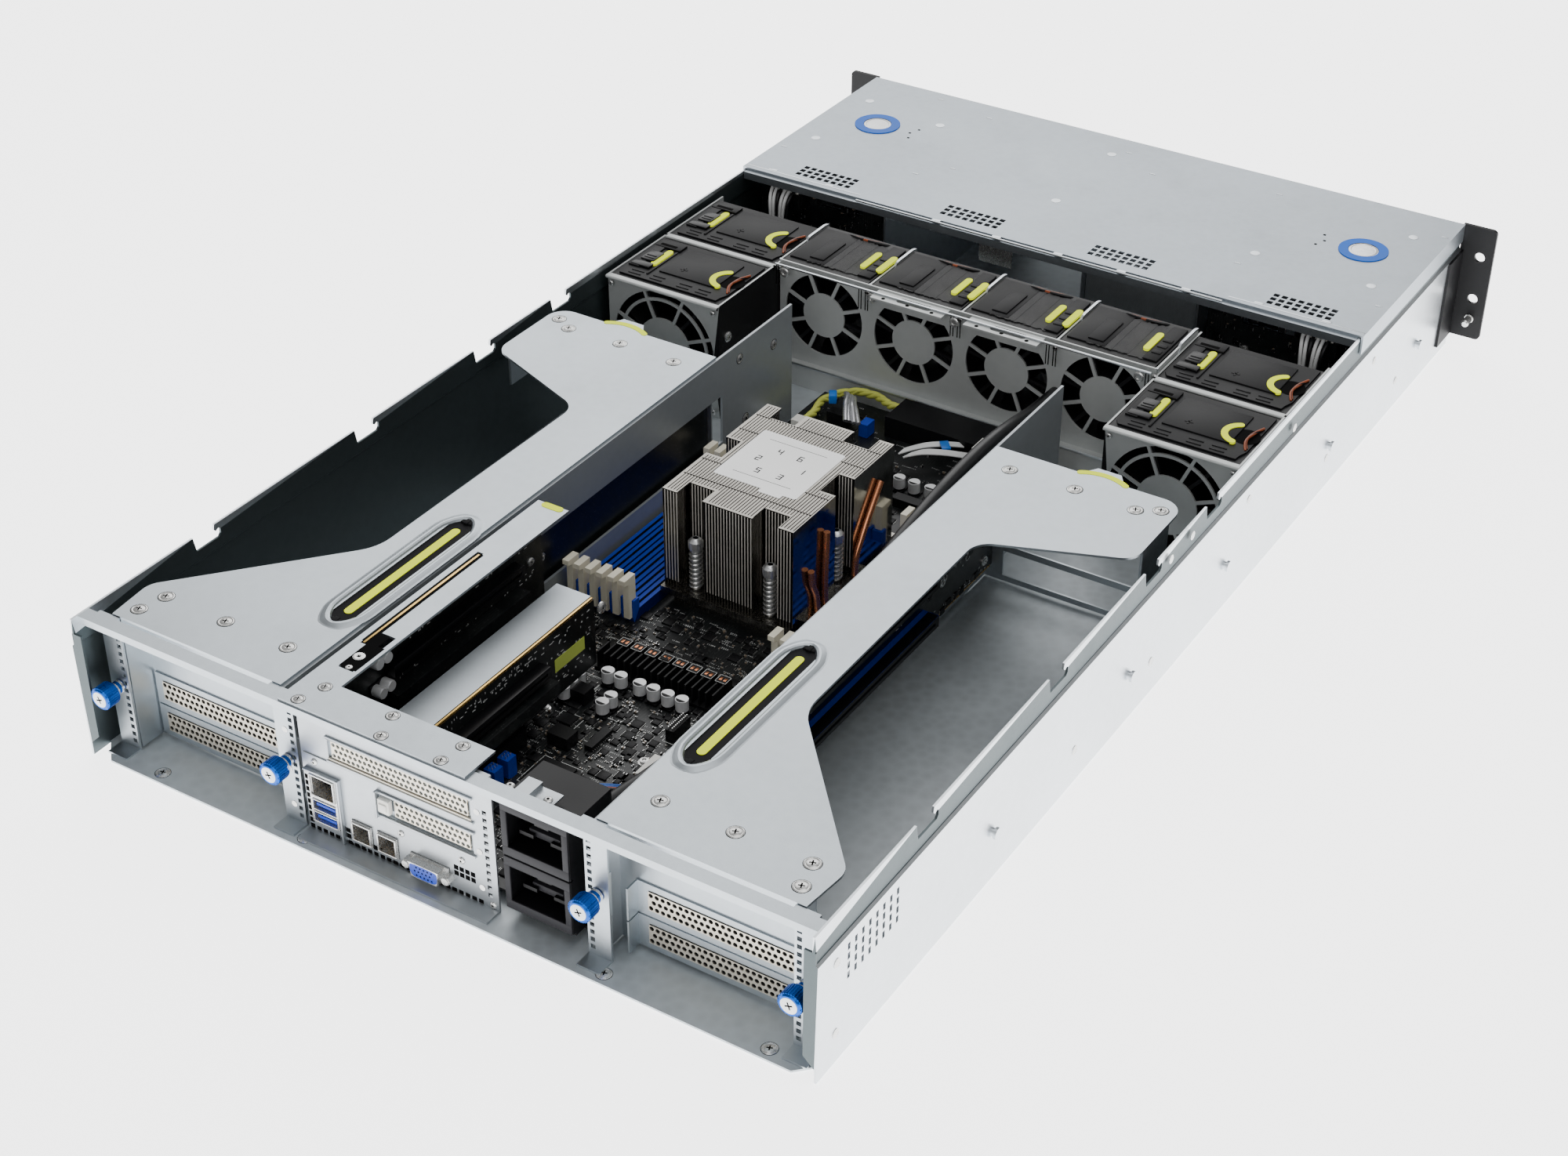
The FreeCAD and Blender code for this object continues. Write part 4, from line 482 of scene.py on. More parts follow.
def wire(name, points, radius, finish, body="chassis", at=(0, 0, 0)):
    # a held wire: a round curve through its own control points
    curve = bpy.data.curves.new(name, "CURVE")
    curve.dimensions = "3D"
    curve.bevel_depth = radius * unit
    curve.bevel_resolution = 4
    curve.resolution_u = 8
    curve.use_fill_caps = True
    spline = curve.splines.new("NURBS")
    spline.points.add(len(points) - 1)
    for point, spot in zip(spline.points, points):
        point.co = (*((Vector(spot) + Vector(at)) * unit), 1)
    spline.order_u = 3
    spline.use_endpoint_u = True
    return settle(name, curve, finish, body)


def paint(node, finish):
    # a carried-over CAD node takes one finish
    data = nodes[node].data
    data.materials.clear()
    data.materials.append(finish)


def islands(data):
    # the separate solids of a mesh, as lists of its faces
    parent = list(range(len(data.vertices)))

    def root(index):
        while parent[index] != index:
            parent[index] = parent[parent[index]]
            index = parent[index]
        return index

    merged = {}
    for vertex in data.vertices:
        key = tuple(round(c, 6) for c in vertex.co)
        parent[vertex.index] = merged.setdefault(key, vertex.index)
    for face in data.polygons:
        first = root(face.vertices[0])
        for other in face.vertices[1:]:
            parent[root(other)] = first
    groups = {}
    for face in data.polygons:
        groups.setdefault(root(face.vertices[0]), []).append(face)
    return list(groups.values())


def solids(node):
    # the separate solids of a CAD node: faces, lowest corner and highest corner
    data = nodes[node].data
    found = []
    for faces in islands(data):
        spots = [data.vertices[index].co / unit for face in faces for index in face.vertices]
        found.append([faces] + [Vector([pick(spot[axis] for spot in spots) for axis in range(3)])
                                for pick in (min, max)])
    return found


def paintGroups(node, groups):
    # each group of faces of a CAD node takes its own finish
    data = nodes[node].data
    data.materials.clear()
    known = []
    for faces, finish in groups:
        if finish not in known:
            known.append(finish)
            data.materials.append(finish)
        for face in faces:
            face.material_index = known.index(finish)


def paintSolids(node, choose):
    # choose gives the finish of a solid for its middle and size
    paintGroups(node, [(faces, choose((low + high) / 2, high - low)) for faces, low, high in solids(node)])


def paintFaces(node, choose):
    # choose gives the finish of a face for its middle
    paintGroups(node, [([face], choose(face.center / unit)) for face in nodes[node].data.polygons])


def repaint(node, test, finish):
    # faces that test picks take another finish than the rest of their node
    data = nodes[node].data
    data.materials.append(finish)
    for face in data.polygons:
        if test(face.center / unit):
            face.material_index = len(data.materials) - 1


def cross(kit, spot, rise, size, turns, axis):
    # two crossed bars of painted shade that stand for a screw drive, at a height above the surface
    tilt = axisTurns[axis]
    for turn in turns:
        kit.block(Vector(spot) + tilt @ Vector((0, 0, rise)), [abs(s) for s in tilt @ Vector(size)], turn,
                  axis.upper())


def panScrew(kit, dark, x, y, z, radius=2.8, height=1.6, axis="z", way=1):
    # a pan-head screw with a hollow drive whose cross is laid in as painted shade
    kit.lathe((x, y, z), [(radius, -0.1), (radius, height * 0.45), (radius * 0.8, height * 0.85),
                          (radius * 0.5, height), (radius * 0.36, height), (radius * 0.3, height * 0.35),
                          (0, height * 0.35)], axis, 20, way)
    size = (radius * 0.9, radius * 0.22, height * 0.3)
    cross(dark, (x, y, z), way * height * 0.5, size, (45, 135), axis)


def countersunk(kit, dark, x, y, z, radius=4.3, axis="z", way=1):
    # a flush rivet with a bright rim, plus a sunk ring and a crossed drive laid in as painted shade
    kit.lathe((x, y, z), [(radius, -0.1), (radius, 0.12), (radius * 0.86, 0.34), (radius * 0.72, 0.16),
                          (radius * 0.6, 0.38), (radius * 0.34, 0.62), (0, 0.66)], axis, 28, way)
    ring = [(radius + 0.3, 0.0), (radius + 0.3, 0.06), (radius - 0.2, 0.06)]
    dark.lathe((x, y, z), ring, axis, 28, way)
    cross(dark, (x, y, z), way * 0.5, (radius * 0.75, radius * 0.18, 0.34), (20, 110), axis)


def capsule(length, width, x=0.0, y=0.0):
    # outline of a strip with round ends, along Y, about a point
    outline = []
    for end in (1, -1):
        for index in range(9):
            angle = math.pi * (index / 8 + (end < 0))
            outline.append((x + width / 2 * math.cos(angle),
                            y + end * (length - width) / 2 + width / 2 * math.sin(angle)))
    return outline


def arcBand(x, y, radius, width, start, stop):
    # outline of a curved strip with round ends about (x, y); angles in degrees
    def around(across, up, reach, degrees):
        angle = math.radians(degrees)
        return across + reach * math.cos(angle), up + reach * math.sin(angle)
    steps = [start + (stop - start) * index / 14 for index in range(15)]
    outline = []
    for way, arc, end, turn in ((1, steps, stop, 0), (-1, steps[::-1], start, 180)):
        outline += [around(x, y, radius + way * width / 2, step) for step in arc]
        middle = around(x, y, radius, end)
        outline += [around(*middle, width / 2, end + turn + 36 * index) for index in range(1, 5)]
    return outline
print("helpers ready")


# ---- camera, light and floor ----
studio = {"lens": 58.06, "eye": (-629.30, 1085.84, 815.95), "forward": (0.43698, -0.70112, -0.56345),
          "right": (-0.84703, -0.53153, 0.00450), "floorTone": (0.86, 0.86, 0.87),
          "worldTone": (1.0, 1.0, 1.0), "worldPower": 0.3, "gap": 0.4, "floorGlow": 3.3}


def setStudio():
    data = bpy.data.cameras.new("camera")
    data.lens = studio["lens"]
    data.sensor_width = 36
    data.clip_start, data.clip_end = 0.05, 30
    camera = bpy.data.objects.new("camera", data)
    forward = Vector(studio["forward"]).normalized()
    right = Vector(studio["right"])
    right = (right - forward * right.dot(forward)).normalized()
    up = right.cross(forward)
    turn = Matrix((right, up, -forward)).transposed().to_4x4()
    camera.matrix_world = Matrix.Translation(Vector(studio["eye"]) * unit) @ turn
    bpy.context.scene.collection.objects.link(camera)
    bpy.context.scene.camera = camera

    world = bpy.data.worlds.new("studio")
    bpy.context.scene.world = world
    world.use_nodes = True
    sky = world.node_tree.nodes["Background"]
    sky.inputs["Color"].default_value = (*studio["worldTone"], 1)
    sky.inputs["Strength"].default_value = studio["worldPower"]
    for name, place, aim, power, size in (
            ("mirrorLight", (1.3, -2.1, 1.7), (0, 0, 0), 50, 2.6),
            ("topLight", (-0.7, 0.3, 2.6), (0, 0, 0), 30, 2.2),
            ("rearLight", (-0.5, 2.6, 1.0), (0, 0.2, 0), 22, 1.8)):
        lamp = bpy.data.lights.new(name, "AREA")
        lamp.energy = power
        lamp.size = size
        holder = bpy.data.objects.new(name, lamp)
        holder.location = place
        holder.rotation_mode = "QUATERNION"
        holder.rotation_quaternion = (Vector(aim) - Vector(place)).to_track_quat("-Z", "Y")
        bpy.context.scene.collection.objects.link(holder)

    floorMesh = bmesh.new()
    bmesh.ops.create_grid(floorMesh, x_segments=1, y_segments=1, size=12)
    data = bpy.data.meshes.new("floor")
    floorMesh.to_mesh(data)
    floor = bpy.data.objects.new("floor", data)
    floor.location.z = -studio["gap"] * unit
    paper = Finish("floorPaper", specularIorLevel=0.2, emissionColor=(1.0, 1.0, 1.0),
                   emissionStrength=studio["floorGlow"])
    paper.set("baseColor", paper.drift(paper.noise(3, 2), studio["floorTone"], 1, 1.02))
    paper.set("roughness", 0.7)
    data.materials.append(paper.material)
    bpy.context.scene.collection.objects.link(floor)


setStudio()
print("camera and light set")


# ---- finishes of the carried-over CAD nodes ----
plainNodes = {
    zincPlate: "rear_frame riser_bracket front_frame", zincFloor: "chassis_pan",
    zincShade: "middle_fan_wall side_fan_cages", zinc: "rear_io_panel power_supply_1 power_supply_2",
    steel: "lid_button_left lid_button_right cooler_screws io_ports", greyPlastic: "power_button",
    boardBlack: "main_board riser_boards backplanes", blackPlastic: "power_inlets",
    ivoryPlastic: "dimm_latches_rear dimm_latches_front"}


def finishFrame():
    for finish, names in plainNodes.items():
        for name in names.split():
            paint(name, finish)
    for number in range(1, 5):
        for name in ("middle_fan_%d", "side_fan_%d", "middle_rotor_%d", "side_rotor_%d"):
            paint(name % number, blackPlastic)
        paint("drive_carrier_%d" % number, greyPlastic)
        paint("drive_lever_%d" % number, blueAnodised)
    repaint("side_fan_cages", lambda middle: abs(middle.x) < 133.8 and middle.z < 80.5, blackPaint)
    # the inner faces of the side walls take the dark zinc as painted shade; all other faces take the brighter
    # zinc
    paintFaces("side_walls", lambda middle: zincInside if abs(middle.x) < 218.9 and middle.z < 82
               else zincBright)
    paintFaces("front_lid", lambda middle: glowingBlueRing if onRing(middle) else zincLid)
    # socket sides take the darker blue as painted shade, the tops the lighter blue
    paintFaces("dimm_sockets", lambda middle: bluePlastic if middle.z > 13.5 else blueShadedSide)
    paintFaces("cooler_fins", lambda middle: finMirror if middle.x < -39.9 else finMetal)
    paintSolids("cooler_base", lambda middle, size: copper if size.x < 6 and size.z > 20 else finMetal)
    paintSolids("rack_ears", lambda middle, size: blackPaint if size.z > 30 else steel)
    paintSolids("internal_cables", lambda middle, size: blackJacket if size.y > 200 else yellowSleeve)
    for word, side in hands:
        paintSolids("card_cage_" + word, cageFinish)
        # the inward web faces of each cage take the darker zinc as painted shade
        repaint("card_cage_" + word, lambda middle: abs(middle.x) < 94 and middle.z < 84.2, zincShadedWeb)
        paintFaces("riser_board_" + word, riserFinish)
        for place in ("outer", "inner"):
            paint("thumbscrew_%s_%s" % (word, place), blueAnodised)


def onRing(middle):
    # the raised bezel round each lid button
    reach = math.hypot(abs(middle.x) - 178, middle.y + 329)
    return reach < 16.5 and middle.z > 87.55


def cageFinish(middle, size):
    # the grip is the long narrow solid in the top plate
    return blackPlastic if 100 < size.y < 120 and size.x < 22 else zincPlate


def riserFinish(middle):
    if abs(middle.x) < 97.7:
        return boardBlack
    return bluePlastic if 26 < middle.z < 40 else blackPlastic


finishFrame()
print("CAD nodes finished")


# ---- slot covers with their air holes ----
covers = {"hole": 1.32, "pitch": 3.3, "face": 368.5, "rows": ((4.6, 21.0), (24.9, 41.3)), "inner": 107.0,
          "outer": 196.0}


def addCovers():
    face = covers["face"]
    for word, side in hands:
        kit = Kit("airCovers_" + word, nickelCover, "card_cage_" + word)
        shadow = Kit("airShadow_" + word, paintedShadeGap, "card_cage_" + word)
        left, right = sorted((side * covers["inner"], side * covers["outer"]))
        for low, high in covers["rows"]:
            kit.sieve((left + 3, right - 3), (low + 2.5, high - 2.5), covers["pitch"], covers["hole"],
                      (face + 1.0, face + 1.6))
            shadow.box((left + 3.2, face + 0.9, low + 2.7), (right - 3.2, face + 1.04, high - 2.7))


addCovers()


# ---- yellow touch marks ----
marks = {"gripX": 106.5, "gripY": 275.5, "length": 91, "width": 5.0, "low": 84.7, "top": 85.3}


def addMarks():
    for word, side in hands:
        kit = Kit("gripStrip_" + word, glowingYellowPlastic, "card_cage_" + word)
        outline = capsule(marks["length"], marks["width"], side * marks["gripX"], marks["gripY"])
        kit.prism(outline, marks["low"], marks["top"])


addMarks()
closeKits()
print("covers and marks made")


# ---- front lid: flush rivets, tick marks, small holes, hems and domed buttons ----
lid = {"top": 87.5, "discs": ((202.7, -360.3), (202.4, -286.8), (140.6, -350.8), (18.6, -288.1),
                              (19.3, -372.4), (-121.7, -288.6), (-198.3, -363.6), (-200.0, -285.9)),
       "ticks": ((117.4, -379.8), (161.7, -389.7), (10.5, -381.0), (-101.2, -376.0), (99.5, -294.5),
                 (-17.3, -359.2), (-215.2, -374.4), (116.6, -274.2), (-118.0, -270.0), (213.4, -263.5),
                 (-213.4, -263.5)),
       "hems": ((-219.4, -130.9, -225.6), (130.9, 219.4, -225.6), (-130.2, 130.2, -218.4)), "tabStep": 44,
       "pins": ((-29, -7.3), (-26, 0.4), (-29, 7.9)), "buttonX": 178.0, "buttonY": -329.0}


def addLid():
    top = lid["top"]
    discs = Kit("lidRivets", zincBright, "front_lid")
    dark = Kit("lidHoles", paintedShadeGap, "front_lid")
    hems = Kit("lidHems", zincBright, "front_lid")
    for x, y in lid["discs"]:
        discs.lathe((x, y, top), [(3.1, -0.05), (3.1, 0.12), (2.6, 0.2), (0, 0.2)])
    for x, y in lid["ticks"]:
        discs.block((x, y, top + 0.05), (4.2, 1.1, 0.3), soft=0.12)
    for low, high, y in lid["hems"]:
        hems.box((low, y - 1.3, top - 1.1), (high, y + 0.2, top + 0.25), 0.5)
        for step in range(int((high - low) / lid["tabStep"])):
            hems.stand(low + 25 + step * lid["tabStep"], y - 2.5, top - 0.1, 6, 2.2, 0.25, 0.1)
    for word, side in hands:
        x, y = side * lid["buttonX"], lid["buttonY"]
        # small holes laid in as near-black squares of painted shade
        for dx, dy in lid["pins"]:
            dark.stand(x + side * dx, y + dy, top - 0.3, 1.8, 1.8, 0.34)
        cap = Kit("buttonCap_" + word, steelSatin, "lid_button_" + word, 30)
        cap.lathe((x, y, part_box("lid_button_" + word)[1][2] / unit), [
            (9.2, -1.2), (9.2, -0.1), (8.7, 0.15), (7.9, 0.2), (7.5, -0.05), (7.1, 0.0), (4.5, 0.22),
            (0, 0.28)], sides=48)
        ring = Kit("buttonRing_" + word, glowingBlueRing, "front_lid", 30)
        rise = cadTop - top - 0.02
        ring.lathe((x, y, top), [(12.4, -0.8), (12.4, rise - 0.15), (12.7, rise), (15.3, rise),
                                 (15.7, rise - 0.25), (15.8, -0.1)], sides=56)
        collar = Kit("buttonCollar_" + word, steelSatin, "front_lid", 30)
        collar.lathe((x, y, top), [(9.6, -1.4), (9.6, -0.5), (10.2, 0.25), (12.0, 0.3), (12.4, 0),
                                   (12.4, -1.4)], sides=56)


addLid()
closeKits()
print("lid details made")


# ---- fan tops: latch plates, touch marks, finger holes and wires ----
sideTop = {"top": 80.6, "rows": (-87.5, -152.5), "middle": 172.5}
middleTop = {"top": 84.0, "rear": -130.5, "pitch": 65, "turns": 3}


def addSideFanTop(number):
    # the four side fans stand the same way round, their latch towards +X
    body = "side_fan_%d" % number
    side = 1 if number < 3 else -1
    at = (side * sideTop["middle"], sideTop["rows"][(number - 1) % 2], sideTop["top"])
    hood = Kit("fanHood_side_%d" % number, fanBlack, body, at=at)
    hood.prism([(-36, 26), (36, 26), (38.5, 22), (38.5, -27), (-38.5, -27), (-38.5, 16), (-36.5, 22)],
               -0.4, 1.1)
    hood.box((-27, -21, 1), (15, 13, 1.9), 0.4)
    hood.box((18, -24, 1), (37, -15, 2.4), 0.5)
    hood.box((29, -15, 1), (37, 15, 2.1), 0.5)
    hood.box((18.5, -14, 1), (20, 20, 1.8), 0.3)
    for x in (-28, -14, 6, 22):  # low raised marks near the rear edge
        hood.box((x, 18.5, 1), (x + 9, 19.6, 1.5), 0.2)
        hood.box((x, 22.6, 1), (x + 9, 23.6, 1.5), 0.2)
    for size in ((5, 1.2, 0.4), (1.2, 5, 0.4)):
        hood.block((2, 4, 1.95), size)
    clip = Kit("fanClip_side_%d" % number, blackGloss, body, at=at)
    clip.box((24, -7, 1), (34, 6, 3.0), 0.8)
    clip.box((22, 8, 1), (36, 14, 2.6), 0.6)
    for y in (0, 3):
        clip.block((29, y, 3.1), (7, 1.4, 0.6), soft=0.2)
    # the finger hole and a slit laid in as near-black patches of painted shade
    well = Kit("fanWell_side_%d" % number, paintedShadeGap, body, at=at)
    well.lathe((-32, 1, 1.15), [(8.2, 0), (8.2, 0.12), (0, 0.12)], sides=32)
    well.box((22, -19, 2.3), (34, -16.4, 2.5))
    mark = Kit("fanMark_side_%d" % number, glowingYellowPlastic, body, at=at)
    mark.prism(capsule(22, 4.4, 22.8, -2), 1, 2.3)
    mark.prism(arcBand(-29.5, 1, 10.2, 4.0, -62, 78), 1, 2.4)
    for count, finish in enumerate((orangeJacket, blackJacket, orangeJacket)):
        slide = 1.7 * count
        wire("fanLead_side_%d_%d" % (number, count), [
            (-37 + slide * 0.4, -12 + slide, 1.6), (-35, -5 + slide, 2.5), (-33.5, 2 + slide * 0.6, 2.3),
            (-34.5, 9 + slide * 0.4, 2.2), (-37.2, 13 + slide * 0.5, 1.0)], 0.75, finish, body, at)


def addMiddleFanTop(number):
    # cloth tape over the top, a raised pad with its mark, a finger hole laid in as painted shade and two grip
    # edges
    body = "middle_fan_%d" % number
    at = ((number - 2.5) * middleTop["pitch"], middleTop["rear"], middleTop["top"])
    pad = Kit("fanPad_middle_%d" % number, fanBlack, body, at=at)
    pad.box((4, -47, -0.2), (29.5, -2, 1.0), 0.5)
    pad.box((-29.5, -47, -0.2), (-20, -2, 1.2), 0.5)
    pad.box((7, -34, 0.9), (17.5, -6, 1.9), 0.6)
    for y in (-30, -22, -14):
        pad.box((-28, y, 1.1), (-22, y + 4, 1.7), 0.3)
    hole = Kit("fanHole_middle_%d" % number, paintedShadeGap, body, at=at)
    hole.prism(capsule(16, 7, -1.5, -22), 0.02, 0.12)
    mark = Kit("fanMark_middle_%d" % number, glowingYellowPlastic, body, at=at)
    for x in (-18.0, -29.3) if number > 1 else (-18.0,):
        mark.prism(capsule(23, 4.4, x, -22.5), 0.4, 1.9)
    tape = Kit("fanTape_middle_%d" % number, clothTape, body, at=at)
    spread = random.Random(number)
    for strip in range(middleTop["turns"]):  # overlapping turns of tape with frayed ends
        x = strip * 10.5 - 13
        outline = [(x - 8.4 + index * 1.4, spread.uniform(-0.9, 0.7) - 1.5) for index in range(13)]
        outline += [(x + 8.4 - index * 1.4, spread.uniform(-1.4, 1.2) - 44) for index in range(13)]
        tape.prism(outline, 0.05 + strip * 0.18, 0.45 + strip * 0.18)
    for count, finish in enumerate((blackJacket, orangeJacket, blackJacket)):
        slide = 2.2 * count
        wire("fanLead_middle_%d_%d" % (number, count), [
            (-20 + slide, -50.4, -8), (-18 + slide, -50.8, -2), (-14 + slide * 1.4, -46.8, 1.0),
            (-4 + slide * 1.6, -45, 1.2), (8 + slide, -47.0, 0.9), (16 + slide, -50.6, -3)],
            0.85, finish, body, at)


for number in range(1, 5):
    addSideFanTop(number)
    addMiddleFanTop(number)
closeKits()
print("fan tops made")


# ---- rivets and screws ----
pins = {"plate": ((111, 359.3), (151.7, 359.3), (192, 359), (195.8, 374.5), (111.2, 21.5), (150.3, 20.3),
                  (187, 21.5), (198.8, 14.9)),
        "web": ((-20, 74), (-26, 30), (-58, 66), (180, 44), (300, 30)),
        "lip": ((176.9, 393.4), (81.0, 393.6), (-100.5, 393.6), (-191.5, 393.4)),
        "bracket": ((72.2, 376.3), (30.3, 376.7), (-12.1, 377.2), (-10.1, 391.2), (76.8, 390.6),
                    (25.1, 391.6)),
        "wall": ((46.5, 80), (19.8, 80), (-60, 60), (-120, 76), (-185, 22), (-250, 58), (-300, 20), (384, 60),
                 (384, 18), (150, 22), (60, 22)),
        "cageTop": 85.5, "webFace": 91.9, "lipTop": 1.2, "bracketTop": 87.4, "wallFace": 220, "postFace": 396,
        "rimFace": -124.2, "cageFront": -55.0}


def addPins():
    for word, side in hands:
        kits = screwKits("cageRivets_" + word, "cageDrives_" + word, "card_cage_" + word)
        for x, y in pins["plate"]:
            countersunk(*kits, side * x, y, pins["cageTop"])
        for y, z in pins["web"]:
            countersunk(*kits, side * pins["webFace"], y, z, 3.2, "x", -side)
    heads, dark = screwKits("frameScrews", "frameDrives")
    for x, y in pins["lip"]:
        countersunk(heads, dark, x, y, pins["lipTop"], 4.0)
    for x, y in pins["bracket"]:
        countersunk(heads, dark, x, y, pins["bracketTop"], 3.4)
    for word, side in hands:
        for y, z in pins["wall"]:
            heads.lathe((side * pins["wallFace"], y, z), [(2.6, -0.1), (2.6, 0.25), (2.1, 0.5), (0, 0.55)],
                        "x", 20, side)
        for x in (134.5, 210.5):
            for z in (6, 76):
                panScrew(heads, dark, side * x, pins["cageFront"], z, 1.7, 0.8, "y")
    for x in (-130, -65, 0, 65, 130):  # folded divider rims of the fan row, one screw each
        panScrew(heads, dark, x, pins["rimFace"], 79.4, 2.0, 1.0, "y")
    for x in (-33, 83):
        for z in (24, 46, 70):
            heads.lathe((x, pins["postFace"], z), [(1.7, -0.4), (1.7, 0.0), (0, 0.0)], "y", 18)


addPins()
closeKits()
print("rivets and screws made")


# ---- connector panel: ports, slot covers with air holes, latch and screws ----
panel = {"face": 386.0, "rear": 387.0, "stack": ((65.0, 79.0), (26.4, 38.0)),
         "usb": ((9.8, 15.2), (17.4, 22.8)), "jacks": ((44.0, 54.0), (28.0, 38.0)), "video": (7.0, 10.75),
         "screws": ((80.5, 77), (-30.5, 77), (24, 24.5), (-13, 24.5), (76, 46.5), (-30.5, 4.5), (22.4, 6.0))}


def addJack(dark, shell, contacts, across, up):
    # a network socket: a deep mouth with a sheet of painted shade at its back, bright rim and gold contacts
    # along its top
    rear = panel["rear"]
    (left, right), (low, high) = across, up
    dark.box((left, rear - 9, low), (right, rear - 8.6, high))
    rim = 0.9
    for x, x2, z, z2 in ((left - rim, right + rim, high, high + 0.8), (left - rim, right + rim, low - 0.8, low),
                         (left - rim, left, low, high), (right, right + rim, low, high)):
        shell.box((x, rear + 0.05, z), (x2, rear + rim, z2), 0.2)
    for index in range(8):
        x = left + (right - left) * (index + 1.5) / 10
        contacts.block((x, rear - 4, high - 1.6), (0.45, 7, 0.35), 18, "X")


def rounded(angle, power=0.45):
    # the point of a squarish circle at an angle
    return [math.copysign(abs(share) ** power, share) for share in (math.cos(angle), math.sin(angle))]


def addPanel():
    # port mouths and pin holes are near-black sheets of painted shade
    dark = Kit("portMouths", paintedShadeGap)
    shell = Kit("portShells", steel)
    contacts = Kit("portContacts", gold)
    blue = Kit("portTongues", bluePlastic)
    rear = panel["rear"]
    addJack(dark, shell, contacts, *panel["stack"])
    for across in panel["jacks"]:
        addJack(dark, shell, contacts, across, (8.6, 18.4))
    for low, high in panel["usb"]:
        dark.box((65.2, rear - 9, low), (78.8, rear - 8.6, high))
        blue.box((66.0, rear - 8, low + 1.2), (78.0, rear - 0.8, low + 2.8), 0.2)
        for level in (high, low - 0.6):
            shell.box((64.6, rear + 0.05, level), (79.4, rear + 0.7, level + 0.6), 0.2)
    x, z = panel["video"]
    outline = []
    for index in range(24):  # rounded trapezium of the display port
        angle = 2 * math.pi * index / 24
        across, up = rounded(angle)
        outline.append((x + 8.4 * (1 + 0.12 * math.sin(angle)) * across, z + 4.0 * up))
    blue.prism(outline, 391.0, 392.0, "y")
    for row in range(3):
        for column in range(5):
            spot = (x - 5.0 + column * 2.3 + (1.1 if row == 1 else 0), 392.0, z + (row - 1) * 2.4)
            dark.lathe(spot, [(0.55, -0.5), (0.55, 0.04), (0, 0.04)], "y", 10)
    for side in (-1, 1):  # jack posts
        shell.lathe((x + side * 12.3, rear, z), [(2.6, -1), (2.6, 3.2), (2.2, 3.6), (1.4, 3.6), (1.2, 2.4),
                                                 (0, 2.4)], "y", 6)

    at = (0, panel["face"], 0)
    sheets = Kit("middleCovers", nickelCover, at=at)
    for right, low, high in ((64, 54.2, 64.0), (27, 33.4, 43.4)):
        sheets.sieve((-19, right), (low, high), 3.0, 1.22, (-0.9, -0.3))
    for low in (52.2, 64.6):
        sheets.box((-21, -1.0, low), (66.4, 0.4, low + 1.2), 0.3)
    latch = Kit("coverLatch", whitePlastic, at=at)
    latch.box((28.4, -0.8, 34.4), (35.6, 2.4, 43.0), 0.8)
    latch.box((29.6, 2.0, 36.6), (34.4, 3.2, 40.8), 0.4)
    rails = Kit("coverFrames", zinc, at=at)
    for low, right in ((51.0, 66.8), (65.6, 66.8), (30.2, 36.4), (44.8, 36.4)):
        rails.box((-22.5, 0, low), (right, 1.2, low + 1.4), 0.3)
    rails.box((36.2, 0, 30.2), (37.6, 2.6, 46.2), 0.3)
    rails.box((66.4, 0, 50.0), (82.6, 0.8, 50.9), 0.25)
    rails.box((60.4, 0, 2.4), (61.6, 2.4, 41.6), 0.3)
    rails.box((61.6, 0, 40.4), (82.6, 2.4, 41.6), 0.3)
    # vent holes laid in as near-black patches of painted shade
    vents = Kit("panelVents", paintedShadeGap, at=at)
    spots = [(82.3, 3.6 + index * 3.9) for index in range(9)]
    spots += [(78.2 - index * 4.05, 3.2) for index in range(26)]
    spots += [(x, z) for x in (61.6, 58.6) for z in (7.4, 11.0)] + [(x, 7.4) for x in (41.8, 39.0)]
    spots += [(-9 - column * 3.4, 14.8 + row * 3.6) for column in range(4) for row in range(2)]
    for x, z in spots:
        vents.block((x, -0.02, z), (2.8, 0.16, 2.9), soft=0.04)
    kits = screwKits("panelScrews", "panelDrives")
    for x, z in panel["screws"]:
        panScrew(*kits, x, panel["face"], z, 1.9, 1.0, "y")


addPanel()


# ---- supply inlets: rims, blades and the bracket over them ----
inlets = {"x": -58.5, "levels": (24.6, 57.6), "blades": ((0, 4.5), (-9, -4), (9, -4))}


def addInlets():
    rims = Kit("inletRims", inletFace)
    blades = Kit("inletBlades", steel)
    for level in inlets["levels"]:
        for kit in (rims, blades):
            kit.origin = Vector((inlets["x"], 0, level))
        for side in (-1, 1):
            rims.block((0, 386.45, side * 13.3), (38.4, 1.1, 5.4), soft=0.4)
            rims.block((side * 17.5, 386.45, 0), (3.4, 1.1, 21.6), soft=0.4)
        rims.box((-9, 371, -5.4), (9, 379, -1.4), 0.5)
        for x, z in inlets["blades"]:
            blades.box((x - 3.2, 366, z - 0.8), (x + 3.2, 378.6, z + 0.8), 0.35)
    plate = Kit("inletBracket", zinc)
    plate.box((-84, 385.2, 75.2), (-36, 386.2, 81.6), 0.3)
    plate.box((-66, 372, 76.8), (-47, 384, 78.0), 0.3)
    plate.prism([(-54, 372), (-46, 372), (-46, 384.5), (-54, 384.5)], 78.0, 80.6)
    kits = screwKits("inletScrews", "inletDrives")
    panScrew(*kits, -80.6, 386.2, 77.6, 2.2, 1.0, "y")
    for x, y in ((-41.0, 380), (-62.0, 379)):
        panScrew(*kits, x, y, 78.0, 2.3, 1.1)


addInlets()


# ---- thumbscrews: knurled rims and silver crossed faces ----
knobs = {"places": (("outer", 206.0), ("inner", 93.0)), "z": 41.0, "face": 401.0, "radius": 6.05,
         "ridges": 30}


